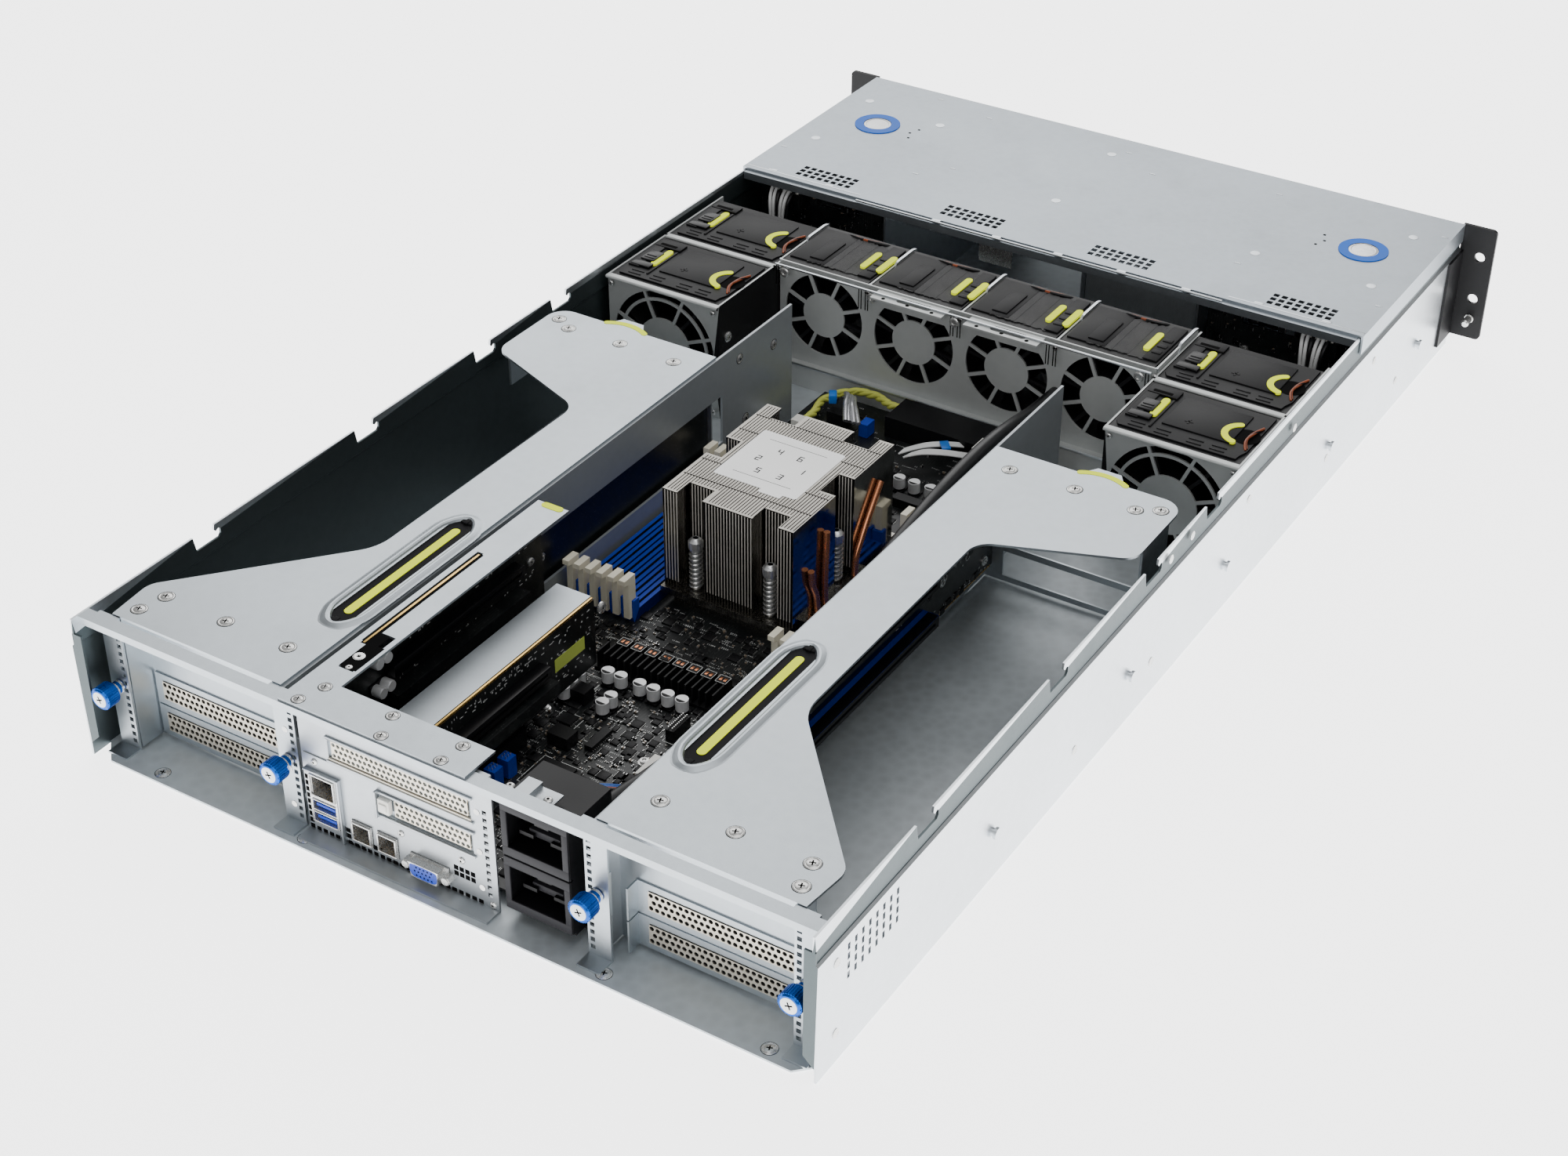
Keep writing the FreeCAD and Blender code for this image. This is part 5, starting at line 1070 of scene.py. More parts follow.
def addKnobs():
    for word, side in hands:
        for place, x in knobs["places"]:
            label = "_%s_%s" % (word, place)
            body = "thumbscrew" + label
            at = (side * x, knobs["face"], knobs["z"])
            rim = Kit("knobRim" + label, blueAnodised, body, at=at)
            for across, up, angle in ridges(knobs["ridges"], knobs["radius"]):
                rim.block((across, -4.4, up), (0.75, 7.2, 0.75), -angle, "Y", 0.15)
            face = Kit("knobFace" + label, steelSatin, body, at=at)
            face.lathe((0, 0, 0), [(4.4, -0.4), (4.4, 0.08), (4.0, 0.14), (0, 0.14)], "y", 32)
            # the crossed slot laid in as near-black bars of painted shade
            slot = Kit("knobDrive" + label, paintedShadeGap, body, at=at)
            for angle in (20, 110):
                slot.block((0, 0.1, 0), (4.2, 0.14, 0.8), angle, "Y")
            neck = Kit("knobNeck" + label, steel, body, at=at)
            neck.lathe((0, -14.4, 0), [(3.7, 0), (3.7, 1.4), (3.2, 1.8), (3.2, 3.0), (3.7, 3.4), (3.7, 5.2)],
                       "y", 24)


addKnobs()
closeKits()
print("rear details made")


# ---- processor cooler: coil springs, label, edge tabs ----
cooler = {"screws": ((26.2, 126.2), (26.2, 29.8), (-22.4, 126.2), (-22.4, 29.8), (39.0, 78.0), (-35.1, 78.0)),
          "low": 18.2, "springTop": 43.5, "headTop": 50.8, "label": ((-24, 50), (29.5, 103.5)), "top": 80.0,
          "numerals": {"4": (9.1, 66), "6": (-4.5, 66.5), "2": (16.3, 77.5), "1": (-11.9, 77.5),
                       "3": (-4.5, 88.3), "5": (9.6, 88.5)}}
finRows = {"first": -39.15, "pitch": 1.92, "count": 43, "dashes": (38, 56, 94, 112)}
digitStrokes = {"1": "cf", "2": "abged", "3": "abgcd", "4": "fgbc", "5": "afgcd", "6": "afgedc"}
strokeSpots = {"a": (0, 1, 1, 0), "b": (0.5, 0.5, 0, 1), "c": (0.5, -0.5, 0, 1), "d": (0, -1, 1, 0),
               "e": (-0.5, -0.5, 0, 1), "f": (-0.5, 0.5, 0, 1), "g": (0, 0, 1, 0)}


def numeral(kit, digit, x, y, z, size, turn):
    # one plain numeral drawn with straight strokes
    spin = Matrix.Rotation(math.radians(turn), 3, "Z")
    for stroke in digitStrokes[digit]:
        across, up, wide, tall = strokeSpots["b" if digit + stroke == "1f" else stroke]
        spot = spin @ Vector((across * size * 0.55, up * size * 0.5, 0)) + Vector((x, y, z))
        kit.block(spot, (size * 0.16 + wide * size * 0.5, size * 0.16 + tall * size * 0.45, 0.06), turn)


def addCooler():
    top, low, springTop, headTop = (cooler[key] for key in ("top", "low", "springTop", "headTop"))
    springs = Kit("coolerSprings", steel)
    shanks = Kit("coolerShanks", steelSatin, replaces=("cooler_screws",))
    # the hex drives are near-black discs of painted shade
    drives = Kit("coolerDrives", paintedShadeGap)
    for x, y in cooler["screws"]:
        springs.helix(x, y, low, springTop, 3.5, 0.65, 8)
        shanks.lathe((x, y, 0), [(0, 18.0), (2.6, 18.0), (2.6, springTop), (4.0, springTop), (4.1, 44.4),
                                 (4.1, 48.6), (3.4, 49.4), (2.6, headTop - 0.6), (1.7, headTop - 0.2),
                                 (1.5, 49.2), (0, 49.2)], sides=28)
        for across, along, angle in ridges(14, 4.05):
            shanks.block((x + across, y + along, 46.6), (0.5, 0.5, 3.6), angle)
        drives.lathe((x, y, 50.55), [(1.55, 0), (1.55, 0.05), (0, 0.05)], sides=6)
    (left, near), (right, far) = cooler["label"]
    label = Kit("coolerLabel", glowingLabelPaper)
    label.prism([(left + 1, near), (right - 1, near), (right, near + 1), (right, far - 1), (right - 1, far),
                 (-2, far), (-2, far + 3.4), (-16, far + 3.4), (-16, far), (left + 1, far), (left, far - 1),
                 (left, near + 1)], top + 0.02, top + 0.2)
    ink = Kit("coolerNumerals", inkBlack)
    for digit, (x, y) in cooler["numerals"].items():
        numeral(ink, digit, x, y, top + 0.22, 4.4, 180)
    for y in (57, 95.5):
        ink.box((left + 8, y, top + 0.2), (right - 8, y + 0.35, top + 0.24))
    # dark strips and dashes of painted shade along the fin rows
    slots = Kit("finSlots", paintedShadeGap)
    edges = Kit("finEdges", finEdge)
    for index in range(finRows["count"]):
        x = finRows["first"] + index * finRows["pitch"]
        for near, far in finSpans(x):
            slots.box((x - 0.27, near + 1.6, top - 0.02), (x + 0.27, far - 1.6, top + 0.05))
            edges.box((x + 0.5, far + 0.02, low + 3), (x + 1.15, far + 0.22, top - 0.6), 0.08)
            for row in finRows["dashes"]:
                if near < row < far:
                    slots.stand(x + 0.8, row, top - 0.02, 1.0, 0.9, 0.08)


def finSpans(x):
    # where a fin lies along Y: the stack is notched at its corners and sides for the screws
    if -14.3 < x < 16:
        return [(24.5, 131.5)]
    if -31 < x < 33:
        return [(37, 119)]
    return [(24.5, 68), (88, 131.5)]


addCooler()
closeKits()
print("cooler made")


# ---- main board: parts in their own colours, then a seeded scatter of small ones ----
board = {"top": 6.6, "small": 1900, "prints": 1500, "seed": 7,
         "zones": ((-42, 205, 45, 372), (-86, 166, 86, 184), (-86, -112, 86, 18), (46, 166, 70, 205),
                   (-44, 137, 44, 182), (-86, 190, -44, 340)),
         "closed": [(-44, 20, 45, 136), (44.6, 20, 90, 162), (-90, 20, -44.6, 162)],
         "coloured": ((22.6, 316, bluePlastic), (22.6, 305, bluePlastic), (-40, 268, whitePlastic),
                      (39.6, -83, bluePlastic), (-37.9, -87, whitePlastic), (76, -64, whitePlastic)),
         "chips": ((23.6, 252, 9, 8, 7), (4, 294, 20, 20, 14), (-0.5, 258, 5, 18, 12)),
         "holes": ((-30.4, 259.4), (40, 250), (-60, 330), (60, -100), (-70, -60), (10, 350), (-80, 170)),
         "headers": ((-31.4, 230, 15, 10, 13.6), (22.6, 316, 6, 3, 18.6), (22.6, 305, 6, 3, 18.6),
                     (5, -100, 20, 12, 13.6)),
         "frames": ((4, 294, 24, 24), (23.6, 252, 14, 12), (4.7, 250, 12, 22), (35, 220, 15, 15),
                    (-31.4, 230, 7, 19))}


def isCan(size):
    return abs(size.x - size.y) < 0.3 and 7 < size.x < 7.4 and size.z < 10


def boardChoice(middle, size):
    if isCan(size):
        return capCan
    if size.z == 12 or (size.y > 10 and size.x < 1.2):
        return blackPlastic
    for x, y, finish in board["coloured"]:
        if abs(middle.x - x) < 3 and abs(middle.y - y) < 3:
            return finish
    return blackPlastic


def pickSpot(spread, share, blocked):
    # a random place on the board, or nothing where something stands
    zones = board["zones"]
    zone = zones[0] if spread.random() < share else spread.choice(zones)
    x, y = spread.uniform(zone[0], zone[2]), spread.uniform(zone[1], zone[3])
    free = not any(low < x < high and near < y < far for low, near, high, far in blocked)
    return (x, y) if free else None


def addCans(blocked):
    # each capacitor can gets its base, collar and mark; every part's ground is taken
    top = board["top"]
    bases = Kit("capBases", blackGloss)
    stripes = Kit("capMarks", inkBlack)
    for faces, low, high in solids("board_components"):
        blocked.append((low.x - 0.8, low.y - 0.8, high.x + 0.8, high.y + 0.8))
        wide, long = high.x - low.x, high.y - low.y
        if 7 < wide < 7.4 and abs(wide - long) < 0.3 and high.z < 15.7:
            for kit in (bases, stripes):
                kit.origin = (low + high) / 2
                kit.origin.z = 0
            bases.prism([(-4, -4), (2.6, -4), (4, -2.6), (4, 2.6), (2.6, 4), (-4, 4)], top, top + 1.3)
            bases.lathe((0, 0, top), [(3.75, 1.3), (3.75, 2.1), (3.6, 2.3)])
            turns = [math.radians(20 + 14 * step) for step in range(11)]
            stripes.prism([(3.3 * math.cos(turn), 3.3 * math.sin(turn)) for turn in turns], 15.6, 15.66)


def addPower(coils, frames, legs):
    # chokes with their windings, and the legs of the chips
    for index in range(8):
        x = 32.3 - index * 9.1
        for dx in (-1.4, 1.3):
            coils.stand(x + dx, 187, 14.5, 1.6, 2.8, 0.25, 0.1)
        for way in (-1, 1):
            frames.stand(x, 187 + way * 3.15, 14.5, 6.8, 0.3, 0.12)
            frames.stand(x - way * 3.25, 187, 14.5, 0.3, 6.6, 0.12)
    for x, y, wide, long, count in board["chips"]:
        for index in range(count):
            at = y - long / 2 + (index + 0.5) * long / count
            for side in (-1, 1):
                legs.stand(x + side * (wide / 2 + 0.1), at, board["top"] + 0.05, 1.0, 0.4, 0.45)


def addSmall(tan, black, silver, spread, blocked):
    # a seeded scatter of small parts with bright ends or legs
    top = board["top"]
    for number in range(board["small"]):
        spot = pickSpot(spread, 0.45, blocked)
        if not spot:
            continue
        x, y = spot
        turned = spread.random() < 0.5
        kind = spread.random()
        if kind < 0.72:
            size = spread.choice(((1.0, 0.55), (1.6, 0.85), (2.0, 1.25)))
            wide, long = (size[1], size[0]) if turned else size
            (tan if kind < 0.42 else black).stand(x, y, top, wide, long, size[1] * 0.8)
            for end in (-1, 1):
                if turned:
                    silver.stand(x, y + end * long * 0.42, top, wide, 0.36, size[1] * 0.84)
                else:
                    silver.stand(x + end * wide * 0.42, y, top, 0.36, long, size[1] * 0.84)
        else:
            wide, long = spread.choice(((3.2, 3.2), (4.6, 4.6), (3.0, 5.0), (6.2, 6.2)))
            black.stand(x, y, top, wide, long, 0.9, 0.12)
            for step in range(int(long / 0.9)):
                at = y - long / 2 + 0.5 + step * 0.9
                for side in (-1, 1):
                    silver.stand(x + side * (wide / 2 + 0.3), at, top, 0.64, 0.32, 0.3)
        blocked.append((x - wide / 2 - 0.6, y - long / 2 - 0.6, x + wide / 2 + 0.6, y + long / 2 + 0.6))


def addHeaders(silver):
    # mounting rings, and the pins of the headers
    for x, y in board["holes"]:
        silver.lathe((x, y, board["top"]), [(3.4, 0), (3.4, 0.3), (2.4, 0.5), (2.4, 1.6), (1.2, 1.8),
                                            (1.2, 1.2), (0, 1.2)])
    for x, y, long, count, level in board["headers"]:
        for index in range(count):
            at = y - long / 2 + (index + 0.5) * long / count
            for side in (-1, 1):
                silver.stand(x + side * 1.2, at, level, 0.6, 0.6, 1.4)


def addPrints(prints, spread, blocked):
    # rows of short printed strokes beside the parts, and frames round the chips
    level = board["top"] + 0.02
    for number in range(board["prints"]):
        spot = pickSpot(spread, 0.5, blocked)
        if spot:
            for step in range(spread.choice((2, 3, 4, 5))):
                wide, long = spread.choice(((0.28, 1.1), (0.9, 0.26), (0.28, 0.8)))
                prints.block((spot[0] + step * 1.15, spot[1], level), (wide, long, 0.05))
    for x, y, wide, long in board["frames"]:
        for side in (-1, 1):
            prints.block((x + side * wide / 2, y, level), (0.35, long, 0.05))
            prints.block((x, y + side * long / 2, level), (wide, 0.35, 0.05))


def addBoard():
    paintSolids("board_components", boardChoice)
    blocked = []
    addCans(blocked)
    blocked += board["closed"]
    addPower(Kit("chokeCoils", copper), Kit("chokeFrames", boardPrint), Kit("chipLegs", steel))
    spread = random.Random(board["seed"])
    silver = Kit("smallEnds", steel)
    addSmall(Kit("smallTan", partTan), Kit("smallBlack", blackPlastic), silver, spread, blocked)
    addHeaders(silver)
    # the sockets' slots laid in as near-black strips of painted shade
    slots = Kit("socketSlots", paintedShadeGap)
    keys = Kit("socketContacts", gold)
    for word, side in hands:
        for index in range(6):
            x = side * (48.2 + 7.6 * index)
            slots.box((x - 0.8, 28.2, 13.7), (x + 0.8, 153.8, 13.76))
            for edge in (-0.8, 0.8):
                keys.box((x + edge - 0.1, 30, 11.6), (x + edge + 0.1, 152, 13.5))
    addPrints(Kit("boardPrints", boardPrint), spread, blocked)


addBoard()
closeKits()
print("board parts made")


# ---- cage plates: pressed rim round each grip, tray, tip marks ----
grip = {"x": 106.5, "low": 220.2, "high": 330.9, "half": 9.0, "plate": 85.5,
        "section": ((5.2, -0.05), (4.2, 0.2), (3.0, 0.75), (1.9, 1.2), (0.9, 1.25), (0.0, 0.8), (-0.6, -0.2),
                    (-0.8, -1.2)), "tip": (158.5, 24.8), "tipRadius": 25.8}


def bevelled(x, halfWide, low, high, cut, long):
    # outline of a long tray whose corners are cut, along Y
    return [(x + a, b) for a, b in (
        (halfWide, low + long), (halfWide, high - long), (halfWide - cut, high), (cut - halfWide, high),
        (-halfWide, high - long), (-halfWide, low + long), (cut - halfWide, low), (halfWide - cut, low))]


def softened(spots, reach=3.0):
    # the same outline with each corner cut twice, so that it reads as round
    for step in range(2):
        after = []
        for first, second in zip(spots, spots[1:] + spots[:1]):
            long = math.dist(first, second)
            part = min(reach, 0.3 * long) / long
            after += [[a + (b - a) * share for a, b in zip(first, second)] for share in (part, 1 - part)]
        spots = after
    return spots


def addGrips():
    half, low, high = grip["half"], grip["low"], grip["high"]
    for word, side in hands:
        body = "card_cage_" + word
        x = side * grip["x"]
        rim = Kit("gripRim_" + word, zincPlate, body, 50)
        loops = [(softened(bevelled(x, half + out, low - out, high + out, 6.2 + out * 0.1, 10 + out * 0.8)),
                  grip["plate"] + rise) for out, rise in grip["section"]]
        for (first, lower), (second, upper) in zip(loops, loops[1:]):
            rim.skirt(first, second, lower, upper)
        tray = Kit("gripTray_" + word, blackTray, body, 40)
        deck = bevelled(x, half - 0.9, low + 1, high - 1, 5, 9)
        tray.prism(deck, 84.5, 84.95)
        tray.skirt(deck, bevelled(x, half - 3.0, low + 4, high - 4, 4, 7), 85.0, 84.97)
        for y in (low + 2.2, high - 2.2):  # snap clips at both ends
            tray.stand(x, y, 84.6, 6.8, 3.2, 1.3, 0.4)
            tray.stand(x, y, 85.0, 2.8, 4.4, 1.2, 0.3)
        tip = Kit("tipMark_" + word, glowingYellowPlastic, body)
        across, along = grip["tip"]
        tip.prism(arcBand(side * across, along, grip["tipRadius"], 3.6, 238, 302), 85.35, 85.72)


addGrips()


# ---- riser bracket: slot with the board's gold edge, window, touch mark; risers and their parts ----
riser = {"top": 87.4, "edge": (246, 338), "window": (68.0, 78.4, 328.0, 361.0),
         "caps": ((328.7, 75.0), (335.4, 74.8), (328.4, 57.2), (335.0, 56.6)), "prints": 70,
         "slots": ((80.0, 218, 326, 64), (80.0, 218, 326, 40), (31.6, 262, 346, 44), (31.6, 262, 346, 30)),
         "pins": ((79.9, 222, 322, 59.6), (79.9, 222, 322, 35.6), (31.5, 266, 342, 39.6)),
         "faces": ((80.0, (200, 320), (69.5, 81)), (80.0, (200, 320), (46, 58)), (31.6, (218, 262), (21, 56)),
                   (31.6, (262, 346), (50, 56)))}
cageBoard = {"screws": ((20, 66), (332, 66), (332, 20), (262, 34), (70, 34), (180, 66), (150, 16), (20, 20)),
             "prints": 150, "parts": 120, "rings": (40, 66, 120, 206, 252, 300), "face": 97.8,
             "slots": ((49.5, 249.5), (23.5, 239.5)), "near": 89.5}


def addRisers():
    top = riser["top"]
    near, far = riser["edge"]
    # the bracket's slot and window laid in as near-black sheets of painted shade
    dark = Kit("bracketOpenings", paintedShadeGap)
    dark.box((77.8, near - 0.8, top - 0.05), (81.8, far + 0.8, top + 0.05))
    left, right, low, high = riser["window"]
    dark.prism([(left, low + 9), (left + 4, low + 9), (left + 4, low), (right, low), (right, high - 2),
                (left, high - 2)], top - 0.05, top + 0.06)
    edge = Kit("riserEdges", gold)
    edge.box((79.6, near, top + 0.04), (80.9, far, top + 0.22), 0.05)
    edge.box((31.6, 215, 58.6), (32.9, 349, 60.3), 0.1)
    edge.box((79.0, 198, 84.6), (80.4, 214, 85.3), 0.1)
    mark = Kit("bracketMark", glowingYellowPlastic)
    outline = [(75.4 + across, 188.9 + along) for along, across in capsule(13.5, 4.4)]
    mark.prism(outline, top - 0.05, top + 0.3)
    kits = screwKits("riserScrews", "riserDrives")
    for x, y, radius in ((74.6, 348.5, 3.2), (73.0, 358, 1.8)):
        panScrew(*kits, x, y, top + 0.05, radius, 0.4)
    for y, z in ((205, 60), (205, 30), (358, 60)):
        panScrew(*kits, 80.0, y, z, 2.6, 1.6, "x", -1)
    panScrew(*kits, 31.8, 208, 50, 3.4, 2.0, "x", -1)
    cans = Kit("riserCans", capCan)
    bases = Kit("riserCanBases", blackGloss)
    for y, z in riser["caps"]:
        cans.lathe((79.5, y, z), [(3.2, 0), (3.2, 5.6), (2.9, 6.2), (0, 6.2)], "x", 24, -1)
        bases.block((79.9, y, z), (1.6, 7.0, 7.0), soft=0.3)
    slots = Kit("riserSlots", blackGloss)
    # slot mouths laid in as near-black strips of painted shade
    lines = Kit("riserSlotMouths", paintedShadeGap)
    for x, near, far, z in riser["slots"]:
        slots.box((x - 7.0, near, z - 3.6), (x, far, z + 3.6), 0.5)
        lines.box((x - 7.06, near + 3, z - 0.8), (x - 6.9, far - 3, z + 0.8))
    teeth = Kit("riserPins", gold)
    for x, near, far, z in riser["pins"]:
        for y in range(near, far, 2):
            teeth.box((x - 0.5, y, z), (x + 0.4, y + 0.8, z + 0.4))
    Kit("riserStickers", stickerGreen).box((31.4, 224, 33), (31.62, 250, 41))
    printed = Kit("riserPrints", boardPrint)
    spread = random.Random(17)
    for face, span, levels in riser["faces"]:
        for index in range(riser["prints"]):
            y, z = spread.uniform(*span), spread.uniform(*levels)
            wide, tall = spread.choice(((1.4, 0.35), (0.35, 1.2), (2.4, 0.4), (0.9, 0.9)))
            printed.box((face - 0.08, y, z), (face, y + wide, z + tall))


def addCageBoard(word, side):
    # what stands on the board that hangs in each card cage
    body = "card_cage_" + word
    face = cageBoard["face"]
    kits = screwKits("cageBoardScrews_" + word, "cageBoardDrives_" + word, body)
    for y, z in cageBoard["screws"]:
        panScrew(*kits, side * face, y, z, 3.0, 1.6, "x", side)
    cap = Kit("cageSlotCap_" + word, blackPlastic, body)
    cap.block((side * 104.25, 164.5, 27.105), (6.5, 149, 0.19), soft=0.05)
    edge = Kit("cageBoardEdge_" + word, gold, body)
    for level in (12.35, 78.15):
        edge.block((side * 96.9, 174.5, level), (2, 325, 0.7), soft=0.1)
    printed = Kit("cageBoardPrints_" + word, boardPrint, body)
    spread = random.Random(23)
    for index in range(cageBoard["prints"]):
        y, z = spread.uniform(14, 330), spread.choice((spread.uniform(13.5, 18.5), spread.uniform(31, 43)))
        wide, tall = spread.choice(((1.5, 0.4), (0.4, 1.4), (2.6, 0.5), (1.0, 1.0)))
        printed.block((side * (face + 0.05), y, z), (0.1, wide, tall))
    for y in cageBoard["rings"]:  # plain test rings
        profile = [(2.6, 0), (2.6, 0.12), (2.0, 0.12), (2.0, 0)]
        printed.lathe((side * (face - 0.05), y, 34), profile, "x", 20, side)
    small = Kit("cageBoardParts_" + word, blackPlastic, body)
    ends = Kit("cageBoardEnds_" + word, steel, body)
    spread = random.Random(31)
    for index in range(cageBoard["parts"]):
        y = spread.uniform(16, 334)
        z = spread.choice((spread.uniform(30, 44), spread.uniform(56, 76), spread.uniform(13, 18)))
        wide, tall = spread.choice(((1.6, 0.9), (2.4, 1.4), (5, 4), (3, 3)))
        small.block((side * (face - 0.1), y, z), (0.9, wide, tall))
        for end in (-1, 1):
            ends.block((side * (face - 0.2), y + end * (wide / 2 + 0.2), z), (0.6, 0.4, tall * 0.8))
    # slot mouths laid in as near-black strips of painted shade
    mouths = Kit("cageSlotMouths_" + word, paintedShadeGap, body)
    teeth = Kit("cageSlotContacts_" + word, gold, body)
    near = cageBoard["near"]
    for z, far in cageBoard["slots"]:
        mouths.block((side * 107.61, (near + far) / 2, z), (0.22, far - near - 8, 1.6))
        for index in range(int((far - near - 12) / 2.4)):
            teeth.block((side * 98.2, near + 6.4 + index * 2.4, z - 3.85), (1.6, 0.8, 0.5))


addRisers()
for word, side in hands:
    addCageBoard(word, side)
closeKits()
print("grips and risers made")


# ---- fan row: J-shaped divider rims, corner bolts, pressed frame edges ----
fanRow = {"rear": -119.0, "pitch": 65,
          "hook": ((-184, 84.0), (-180, 84.9), (-170, 84.9), (-162, 84.9), (-159, 84.3), (-157.4, 81.5),
                   (-155.6, 79.4), (-152, 78.6), (-136, 78.6), (-130, 78.6), (-128, 80.4), (-127, 84))}


def addFanRow():
    rims = Kit("dividerRims", zincBright, angle=60)
    for index in range(5):
        rims.ribbon([((index - 2) * fanRow["pitch"], y, z) for y, z in fanRow["hook"]], 1.7, 0.9)
    bolts = Kit("fanRowBolts", steel)
    # pressed frame edges drawn as near-black grooves of painted shade
    wells = Kit("fanRowWells", paintedShadeGap)
    for x in (-122.5, 1, 59, 122.5):
        bolts.lathe((x, fanRow["rear"], 79.8), [(3.2, -0.1), (3.2, 0.5), (2.6, 0.9), (1.7, 0.9), (1.5, 0.3),
                                                (0, 0.3)], "y")
    for index in range(4):
        x = (index - 1.5) * fanRow["pitch"]
        bolts.lathe((x - 27.5, -181.0, 78.0), [(3.0, -0.5), (3.0, 1.0), (2.2, 1.4), (0, 1.4)], "y", 20, -1)
        for dx in (-31.0, -29.2, 29.2, 31.0):
            wells.block((x + dx, fanRow["rear"] + 0.015, 76.6), (0.7, 0.13, 13.2))
    # holes in the hook plates laid in as near-black discs of painted shade
    plates = Kit("hookPlateHoles", paintedShadeGap)
    for x in (-49.5, -32.5, -15.5, 15.5, 32.5, 49.5):
        plates.lathe((x, -116.5, 83.15), [(1.3, 0), (1.3, 0.1), (0, 0.1)], sides=16)
    kits = screwKits("fanCageScrews", "fanCageDrives")
    for word, side in hands:
        panScrew(*kits, side * 131.0, -66, 56, 3.4, 1.8, "x", -side)
    beam = Kit("fanRowLip", zincBright)
    beam.box((-129.6, -119.6, 16.2), (129.6, -118.2, 17.6), 0.5)
    beam.box((-129.8, -120.6, 83.2), (129.8, -119.0, 84.4), 0.4)


addFanRow()


# ---- backplanes behind the lid: parts, white power headers, screws, rails ----
plane = {"face": -240.4, "parts": 90, "rings": ((123, 74), (207, 74), (166, 76), (140, 46)), "header": 190,
         "lead": ((-9, 3.5, 12, 78.5), (-8.6, 3.3, 17, 77.0), (-7.6, 2.8, 22, 71.5), (-6.4, 2.4, 22.6, 62),
                  (-5.4, 2.2, 21.6, 50))}


def addBackplanes():
    spread = random.Random(5)
    face = plane["face"]
    black = Kit("planeParts", blackPlastic)
    silver = Kit("planeMetal", steel)
    white = Kit("planeHeaders", whitePlastic)
    tan = Kit("planeTan", partTan)
    # a near-black patch of painted shade on each backplane
    dark = Kit("planeDark", paintedShadeGap)
    for word, side in hands:
        for index in range(plane["parts"]):
            x, z = side * spread.uniform(117, 214), spread.uniform(40, 80)
            wide, tall = spread.choice(((1.6, 0.9), (1.0, 1.8), (3.2, 2.4), (4.4, 4.4), (0.9, 0.6)))
            kit = black if wide > 2 else spread.choice((black, tan))
            kit.block((x, face + 0.4, z), (wide, 1.2, tall))
            silver.block((x - wide / 2 - 0.2, face + 0.3, z), (0.4, 0.9, tall * 0.8))
        for x, z in plane["rings"]:
            silver.lathe((side * x, face, z), [(3.4, -0.2), (3.4, 0.4), (2.5, 0.8), (2.5, 2.4), (1.5, 2.6),
                                               (1.3, 1.4), (0, 1.4)], "y", 20)
        x = side * plane["header"]
        black.box((x - 12, face, 63), (x + 12, face + 11, 79), 0.6)
        for index in range(6):
            at = x - 10.4 + index * 3.5
            white.box((at, face + 8, 74.5), (at + 2.6, face + 13.4, 80.6), 0.4)
            wire("planeLead_%s_%d" % (word, index), [
                (x + start + index * step, face + y, z) for start, step, y, z in plane["lead"]],
                1.15, whiteJacket if index % 3 else blackJacket)
        dark.block((side * 150, face + 0.075, 70), (20, 0.35, 8))
    silver.box((-100, -232, 60), (-74, -230.6, 80), 0.3)
    silver.box((20, -232, 62), (44, -230.6, 80), 0.3)


addBackplanes()
closeKits()
print("fan row and backplanes made")


# ---- leads on the board: sleeved bundle, braid, white ribbons, inlet wires ----
bundle = {"path": ((76, -68, 12), (76, -80, 12), (78.8, -93.2, 13), (73.7, -105.7, 14), (62.6, -113.3, 15),
                   (49.1, -113.3, 15.5), (38, -108.8, 15), (29, -108.8, 15)), "strands": 3}
supplyPath = ((-69, 352, 56), (-72, 334, 56), (-77, 312, 57), (-81, 288, 60), (-83.6, 262, 62),
              (-84, 222, 61), (-83, 172, 60), (-82.4, 120, 62), (-79.6, 74, 67), (-77.4, 24, 70),
              (-74, -24, 67), (-69.6, -66, 58), (-66, -100, 48), (-66.6, -126, 48))


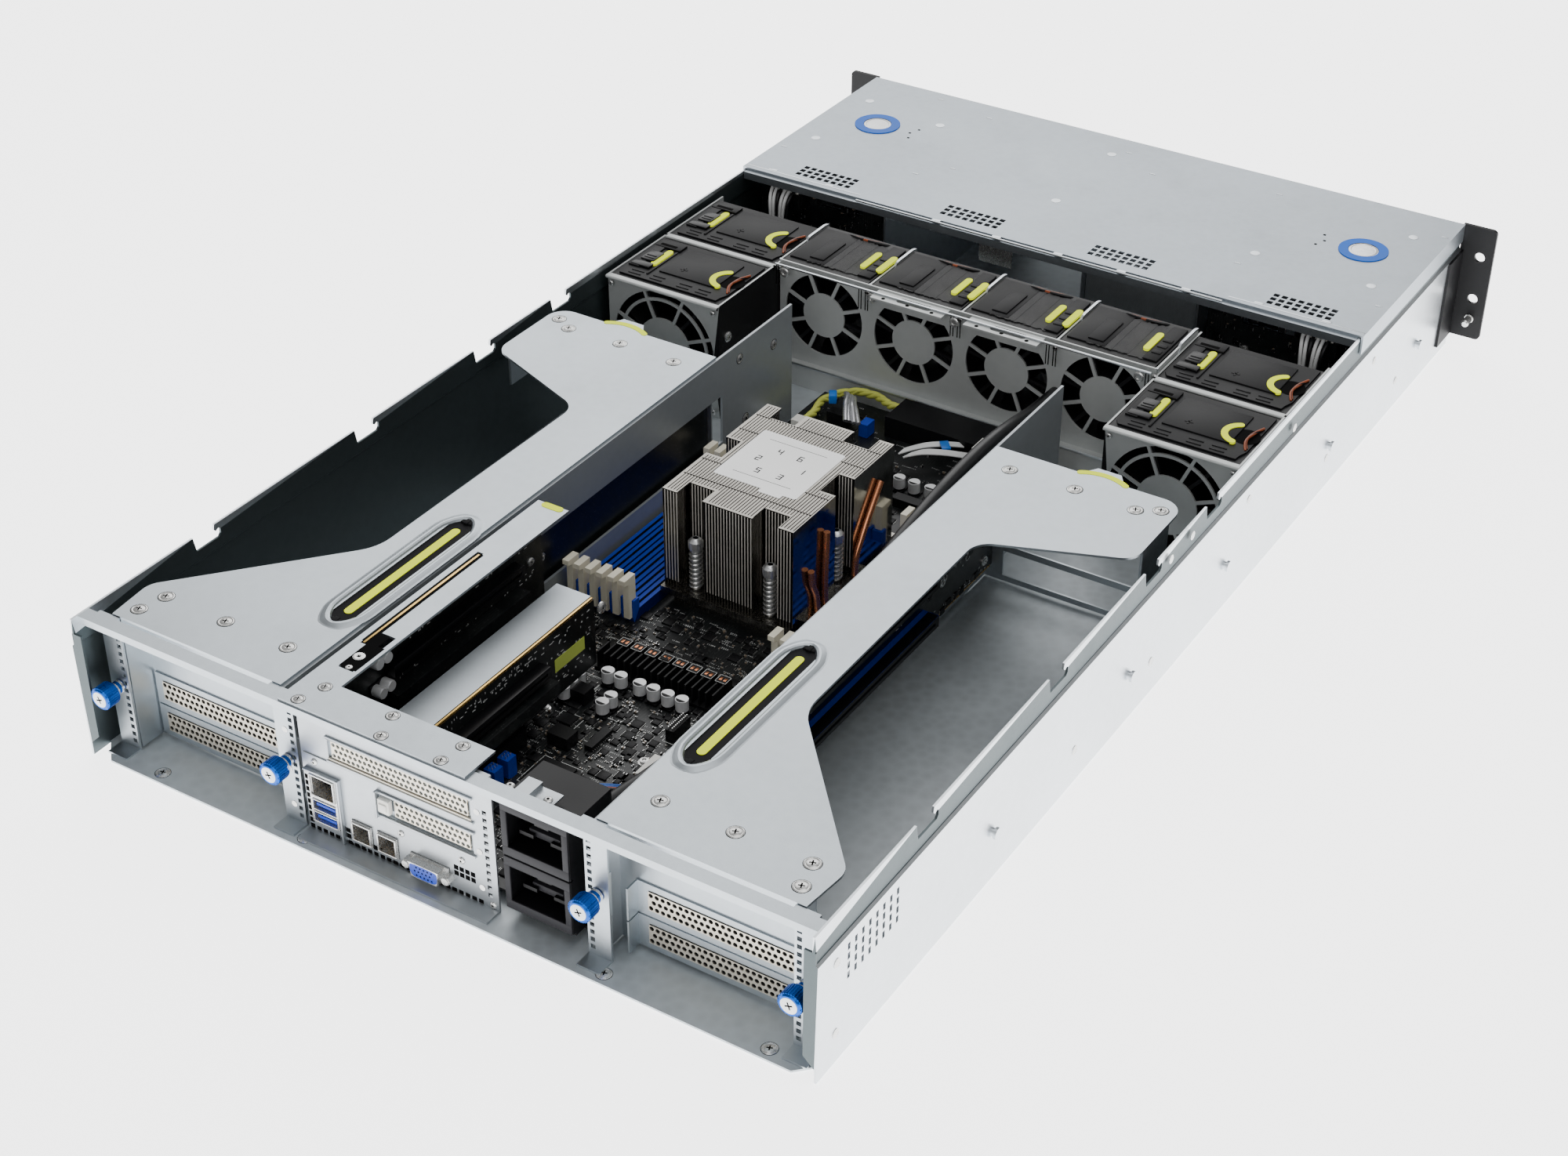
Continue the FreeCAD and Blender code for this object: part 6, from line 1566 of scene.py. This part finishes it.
def addLeads():
    path = []
    for first, second in zip(bundle["path"], bundle["path"][1:]):
        path += [Vector(first).lerp(Vector(second), share / 4) for share in range(4)]
    for strand in range(bundle["strands"]):  # twisted strands of the sleeved lead
        spots = []
        for index, spot in enumerate(path):
            angle = math.radians(120 * strand + 62 * index)
            spots.append(spot + Vector((math.cos(angle), math.cos(angle), 1.6 * math.sin(angle))))
        wire("sleevedLead_%d" % strand, spots, 1.55, yellowSleeve)
    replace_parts(wire("supplyCable", supplyPath, 4.2, blackJacket), "internal_cables")
    shields = ((0, 0), (1.6, 1.2), (-1.4, 1.6), (0.3, 2.9), (2.4, -0.8), (-2.2, -0.6), (1.0, 4.2))
    for index, (dx, dz) in enumerate(shields):
        wire("braidShield_%d" % index, [
            (62 + dx, -101 + dz, 17 + dz), (59 + dx, -96 + dz, 20.5 + dz), (55.5 + dx * 1.3, -89, 22 + dz),
            (51 + dx * 1.6, -82.5 + dz, 21 + dz), (46 + dx * 1.8, -76 + dz * 1.2, 16.6 + dz * 0.7)],
            1.7, braidSilver)
    for index in range(5):
        wire("ribbonFirst_%d" % index, [
            (-4 - index * 0.4, -52 - index * 1.5, 20), (-11, -56 - index * 1.5, 22.6),
            (-19, -61.5 - index * 1.4, 22.4), (-28, -68.5 - index * 1.2, 20.8), (-34, -76 - index * 1.3, 17)],
            0.62, whiteJacket)
        wire("ribbonSecond_%d" % index, [
            (2, -57 - index * 1.6, 18), (-6, -63 - index * 1.6, 21.2), (-14, -71 - index * 1.4, 21.4),
            (-22, -80 - index * 1.1, 19.6), (-27, -88.5 - index * 1.1, 16)], 0.62, whiteJacket)
    for index, finish in enumerate((blueJacket, blueJacket, orangeJacket, blackJacket)):
        wire("inletWire_%d" % index, [
            (-44 - index * 1.8, 352, 38), (-40 - index * 2.4, 344, 44 + index),
            (-42 - index * 3.2, 330, 44 + index), (-52 - index * 3.6, 314, 38), (-66 - index * 2.6, 296, 27),
            (-77 - index, 272, 17)], 1.35, finish)
    tape = Kit("ribbonTape", blueTape)
    tape.block((-20.5, -74.0, 22.6), (5.5, 9.0, 1.2), 40, soft=0.3)
    tape.block((66, -86, 23.4), (5, 8, 6), 30, soft=0.8)


addLeads()
closeKits()
print("leads made")


print("scene complete")
